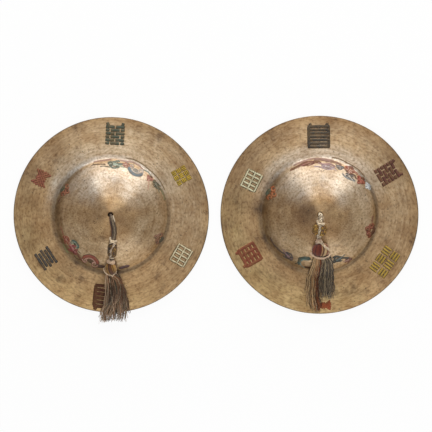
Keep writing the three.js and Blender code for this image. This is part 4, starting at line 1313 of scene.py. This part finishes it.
def cloudLines(kind, width, height, turn):
    # one cloud's strokes: x, y, width of the brush as a share of the height, colour, layer
    w, h, t = width / 2, height / 2, np.linspace(0, 1, 18)
    if kind == "bowl":          # an open bowl that rolls in at both ends
        x, y = -w * np.cos(math.pi * t), h * (0.25 - 1.15 * np.sin(math.pi * t))
        tail = np.array([(-0.9, 0.1), (-1.2, 0.75), (-1.65, 0.95), (-2.1, 0.85)]) * (w, h)
        strokes = [(*tail.T, 0.1, "dark", 0), (x * 0.4, y * 0.1, 0.46, "dark", 0), (x, y, 0.38, "dark", 0),
                   (x, y, 0.27, "wide", 1), (x * 0.72, y * 0.72 + h * 0.12, 0.1, "pale", 4)]
        for side, size, turns in ((1, 0.62, 1.15), (-1, 0.5, 1.05)):
            x, y = volute(side, w - h * size, h * size, turns)
            strokes += [(x, y + h * 0.25, 0.2, "dark", 2), (x, y + h * 0.25, 0.12, "pale", 3)]
    elif kind == "flame":       # tongues that stream back from a curled head
        strokes = [(w * (0.5 - 1.1 * t), h * 0.15 * np.sin(5 * t), 0.62, "dark", 0)]
        for k, reach, tint, layer in ((-0.95, 0.7, "wide", 1), (0.9, 0.6, "wide", 1), (-0.35, 1.3, "pale", 2),
                                      (0.45, 1.0, "wide", 3), (0.0, 0.85, "pale", 4)):
            y = h * (k * np.sin(t * 2.4) * 0.85 + 0.2 * np.sin(t * 5 + k * 3))
            strokes.append((w * (0.7 - (0.7 + reach) * t), y, 0.2 if tint == "wide" else 0.13, tint, layer))
        x, y = volute(1, w * 0.5, h * 0.55, 1.1)
        strokes += [(x, y, 0.26, "wide", 4), (x, y, 0.1, "dark", 5)]
    elif kind == "tuft":        # three curls that roll together, on a dark stem
        strokes = [(w * (1.5 * t - 0.75), h * 0.1 + t * 0, 0.62, "wide", 0),
                   (w * (1.0 * t - 0.5), h * (0.75 + 0.1 * np.sin(5 * t)), 0.3, "dark", 4)]
        for side, middle, size, down in ((-1, 0.56, 0.5, 0.1), (1, 0.56, 0.5, 0.1), (1, 0.0, 0.55, -0.45)):
            x, y = volute(side, w * middle, h * size, 1.2)
            strokes += [(x, y + h * down, 0.25, "wide", 2), (x[4:], y[4:] + h * down, 0.09, "pale", 3),
                        (x[-9:], y[-9:] + h * down, 0.1, "dark", 4)]
    return [(turn * x, y, brush * height, tint, layer) for x, y, brush, tint, layer in strokes]


def makePaint(side, material):
    stroke, shapes = partial(brushStroke, cymbals[side]), []
    for number, fret in enumerate(rimFrets[side]):
        azimuth, radius, width, height, pattern, tint, edge, thick, wider = fret
        x, y = math.cos(math.radians(azimuth)), math.sin(math.radians(azimuth))
        outward, around = np.array([x, y]), np.array([y, -x])
        for order, (a, b) in enumerate(np.array(fretLines(pattern, width, height, thick))):
            steps = max(2, int(np.linalg.norm(b - a)))
            line = a + (b - a) * np.linspace(0, 1, steps + 1)[:, None]
            flat = outward * radius + line[:, :1] * around + line[:, 1:] * outward
            seed = number * 50 + order
            shapes.append(stroke(flat, thick + wider, edge, paintLook["outlineLift"], 0.8, 0.12, seed))
            lift = paintLook["lift"] + 0.004 * (order % 8)      # crossing strokes don't share a surface
            shapes.append(stroke(flat, thick - 0.2, tint, lift, 0.75, 0.1, seed + 25))
    for number, (kind, azimuth, radius, width, height, turn, *tints) in enumerate(cloudScrolls[side]):
        tints = dict(zip(("wide", "pale", "dark"), tints))
        for order, (x, y, brush, tint, layer) in enumerate(cloudLines(kind, width, height, turn)):
            flat = onPlan(azimuth - np.degrees(x / radius), radius + y)
            shapes.append(stroke(flat, max(brush, 0.9), tints[tint], 0.06 + 0.03 * layer, 0.3, 0.1,
                                 number * 9 + order))
    for number, (line, thick, tint) in enumerate(brushLines[side]):
        shapes.append(stroke(onPlan(*smoothCurve(line, 12).T), thick, tint, 0.13, 0.15, 0.06, number))
    return makePiece(side, "Paint", shapes, material, "cymbal")


def oldPaint():
    # matt mineral paint, rubbed through to the bronze in small flecks
    material, add, spot, tint = newSoftMaterial("wornMineralPaint")
    flecks = add("TexNoise", {"Vector": spot, "Scale": 1 / (paintLook["wearSize"] * mm), "Detail": 5.0,
                              "Roughness": 0.7})["Fac"]
    worn = add("ValToRGB", {0: flecks}, [(0.44, 0.1), (0.62, paintLook["wear"])])[0]
    clouding = add("TexNoise", {"Vector": spot, "Scale": 1 / (9 * mm), "Detail": 3.0})["Fac"]
    clouded = shades(add, (1.0, clouding, [(0.3, 0.74), (0.68, 1.1)]))
    base = layered(add, tint, clouded + [("MIX", worn, paintLook["bareBronze"])])
    return finishSoft(material, add, base, flecks, 0.5, 0.2,
                      {"Roughness": 0.68, "Metallic": worn, "Specular IOR Level": 0.3})


mineralPaint = oldPaint()
for side in cymbals:
    makePaint(side, mineralPaint)
print("paint laid on")


# camera, light and floor

stageSet = {
    "viewWidth": 659.4,         # mm across the picture at the height of the rims
    "cameraHeight": 6000,
    "cameraShiftY": -1.9,       # the pair sits a little above the picture's middle
    # power in watts, place and size in metres
    "lamps": {"key": (74, (0.35, 2.3, 0.8), (3.8, 1.3)), "fill": (12, (0.5, -2.1, 1.1), (2.4, 1.0))},
    "skyTop": 0.86,             # the soft ceiling light, which the flat rims mirror
    "skySide": 0.27,
}


def makeCamera():
    data = bpy.data.cameras.new("camera")
    data.sensor_width = 36
    data.lens = 36 * stageSet["cameraHeight"] / stageSet["viewWidth"]
    data.clip_end = 100
    bpy.context.scene.camera = newObject("camera", data)
    bpy.context.scene.camera.location = (0, stageSet["cameraShiftY"] * mm, stageSet["cameraHeight"] * mm)


def makeLamp(name, power, location, size):
    data = bpy.data.lights.new(name, "AREA")
    data.shape = "RECTANGLE"
    data.size, data.size_y = size
    data.energy = power
    lamp = newObject(name, data)
    lamp.location = location
    lamp.rotation_euler = Vector(location).to_track_quat("Z", "Y").to_euler()


def makeFloor():
    # white paper sweep: plain white to the camera and in reflections, and it keeps a faint shadow
    material, add = newMaterial("whitePaper")
    paper = add("BsdfDiffuse", {"Color": "#f2f2f0"})[0]
    seen = add("Emission", {"Color": "#ffffff", "Strength": 1.0})[0]
    path = add("LightPath")
    direct = path["Is Camera Ray"]
    for ray in ("Is Glossy Ray", "Is Transmission Ray"):
        direct = add("Math", {0: direct, 1: path[ray]}, operation="MAXIMUM")[0]
    share = add("Math", {0: direct, 1: 0.93}, operation="MULTIPLY")[0]
    mix = add("MixShader", {0: share, 1: paper, 2: seen})[0]
    add("OutputMaterial", {"Surface": mix})
    half = 30
    corners = [(x * half, y * half, 0) for x, y in ((-1, -1), (1, -1), (1, 1), (-1, 1))]
    floor = makeMesh("floor", corners, [(0, 1, 2, 3)], material)
    floor.location.z = -0.2 * mm


def makeWorld():
    world = bpy.data.worlds.new("studio")
    world.use_nodes = True
    world.node_tree.nodes.clear()
    add = partial(addNode, world.node_tree)
    height = add("SeparateXYZ", {0: add("TexCoord")["Generated"]})["Z"]
    level = add("MapRange", {0: height, 1: 0.35, 2: 0.95, 3: stageSet["skySide"], 4: stageSet["skyTop"]},
                interpolation_type="SMOOTHSTEP")[0]
    sky = add("Background", {"Color": "#ffffff", "Strength": level})[0]
    add("OutputWorld", {"Surface": sky})
    bpy.context.scene.world = world


makeCamera()
for name, settings in stageSet["lamps"].items():
    makeLamp(name, *settings)
makeFloor()
makeWorld()
bpy.context.scene.view_settings.view_transform = "Standard"
print("stage set")
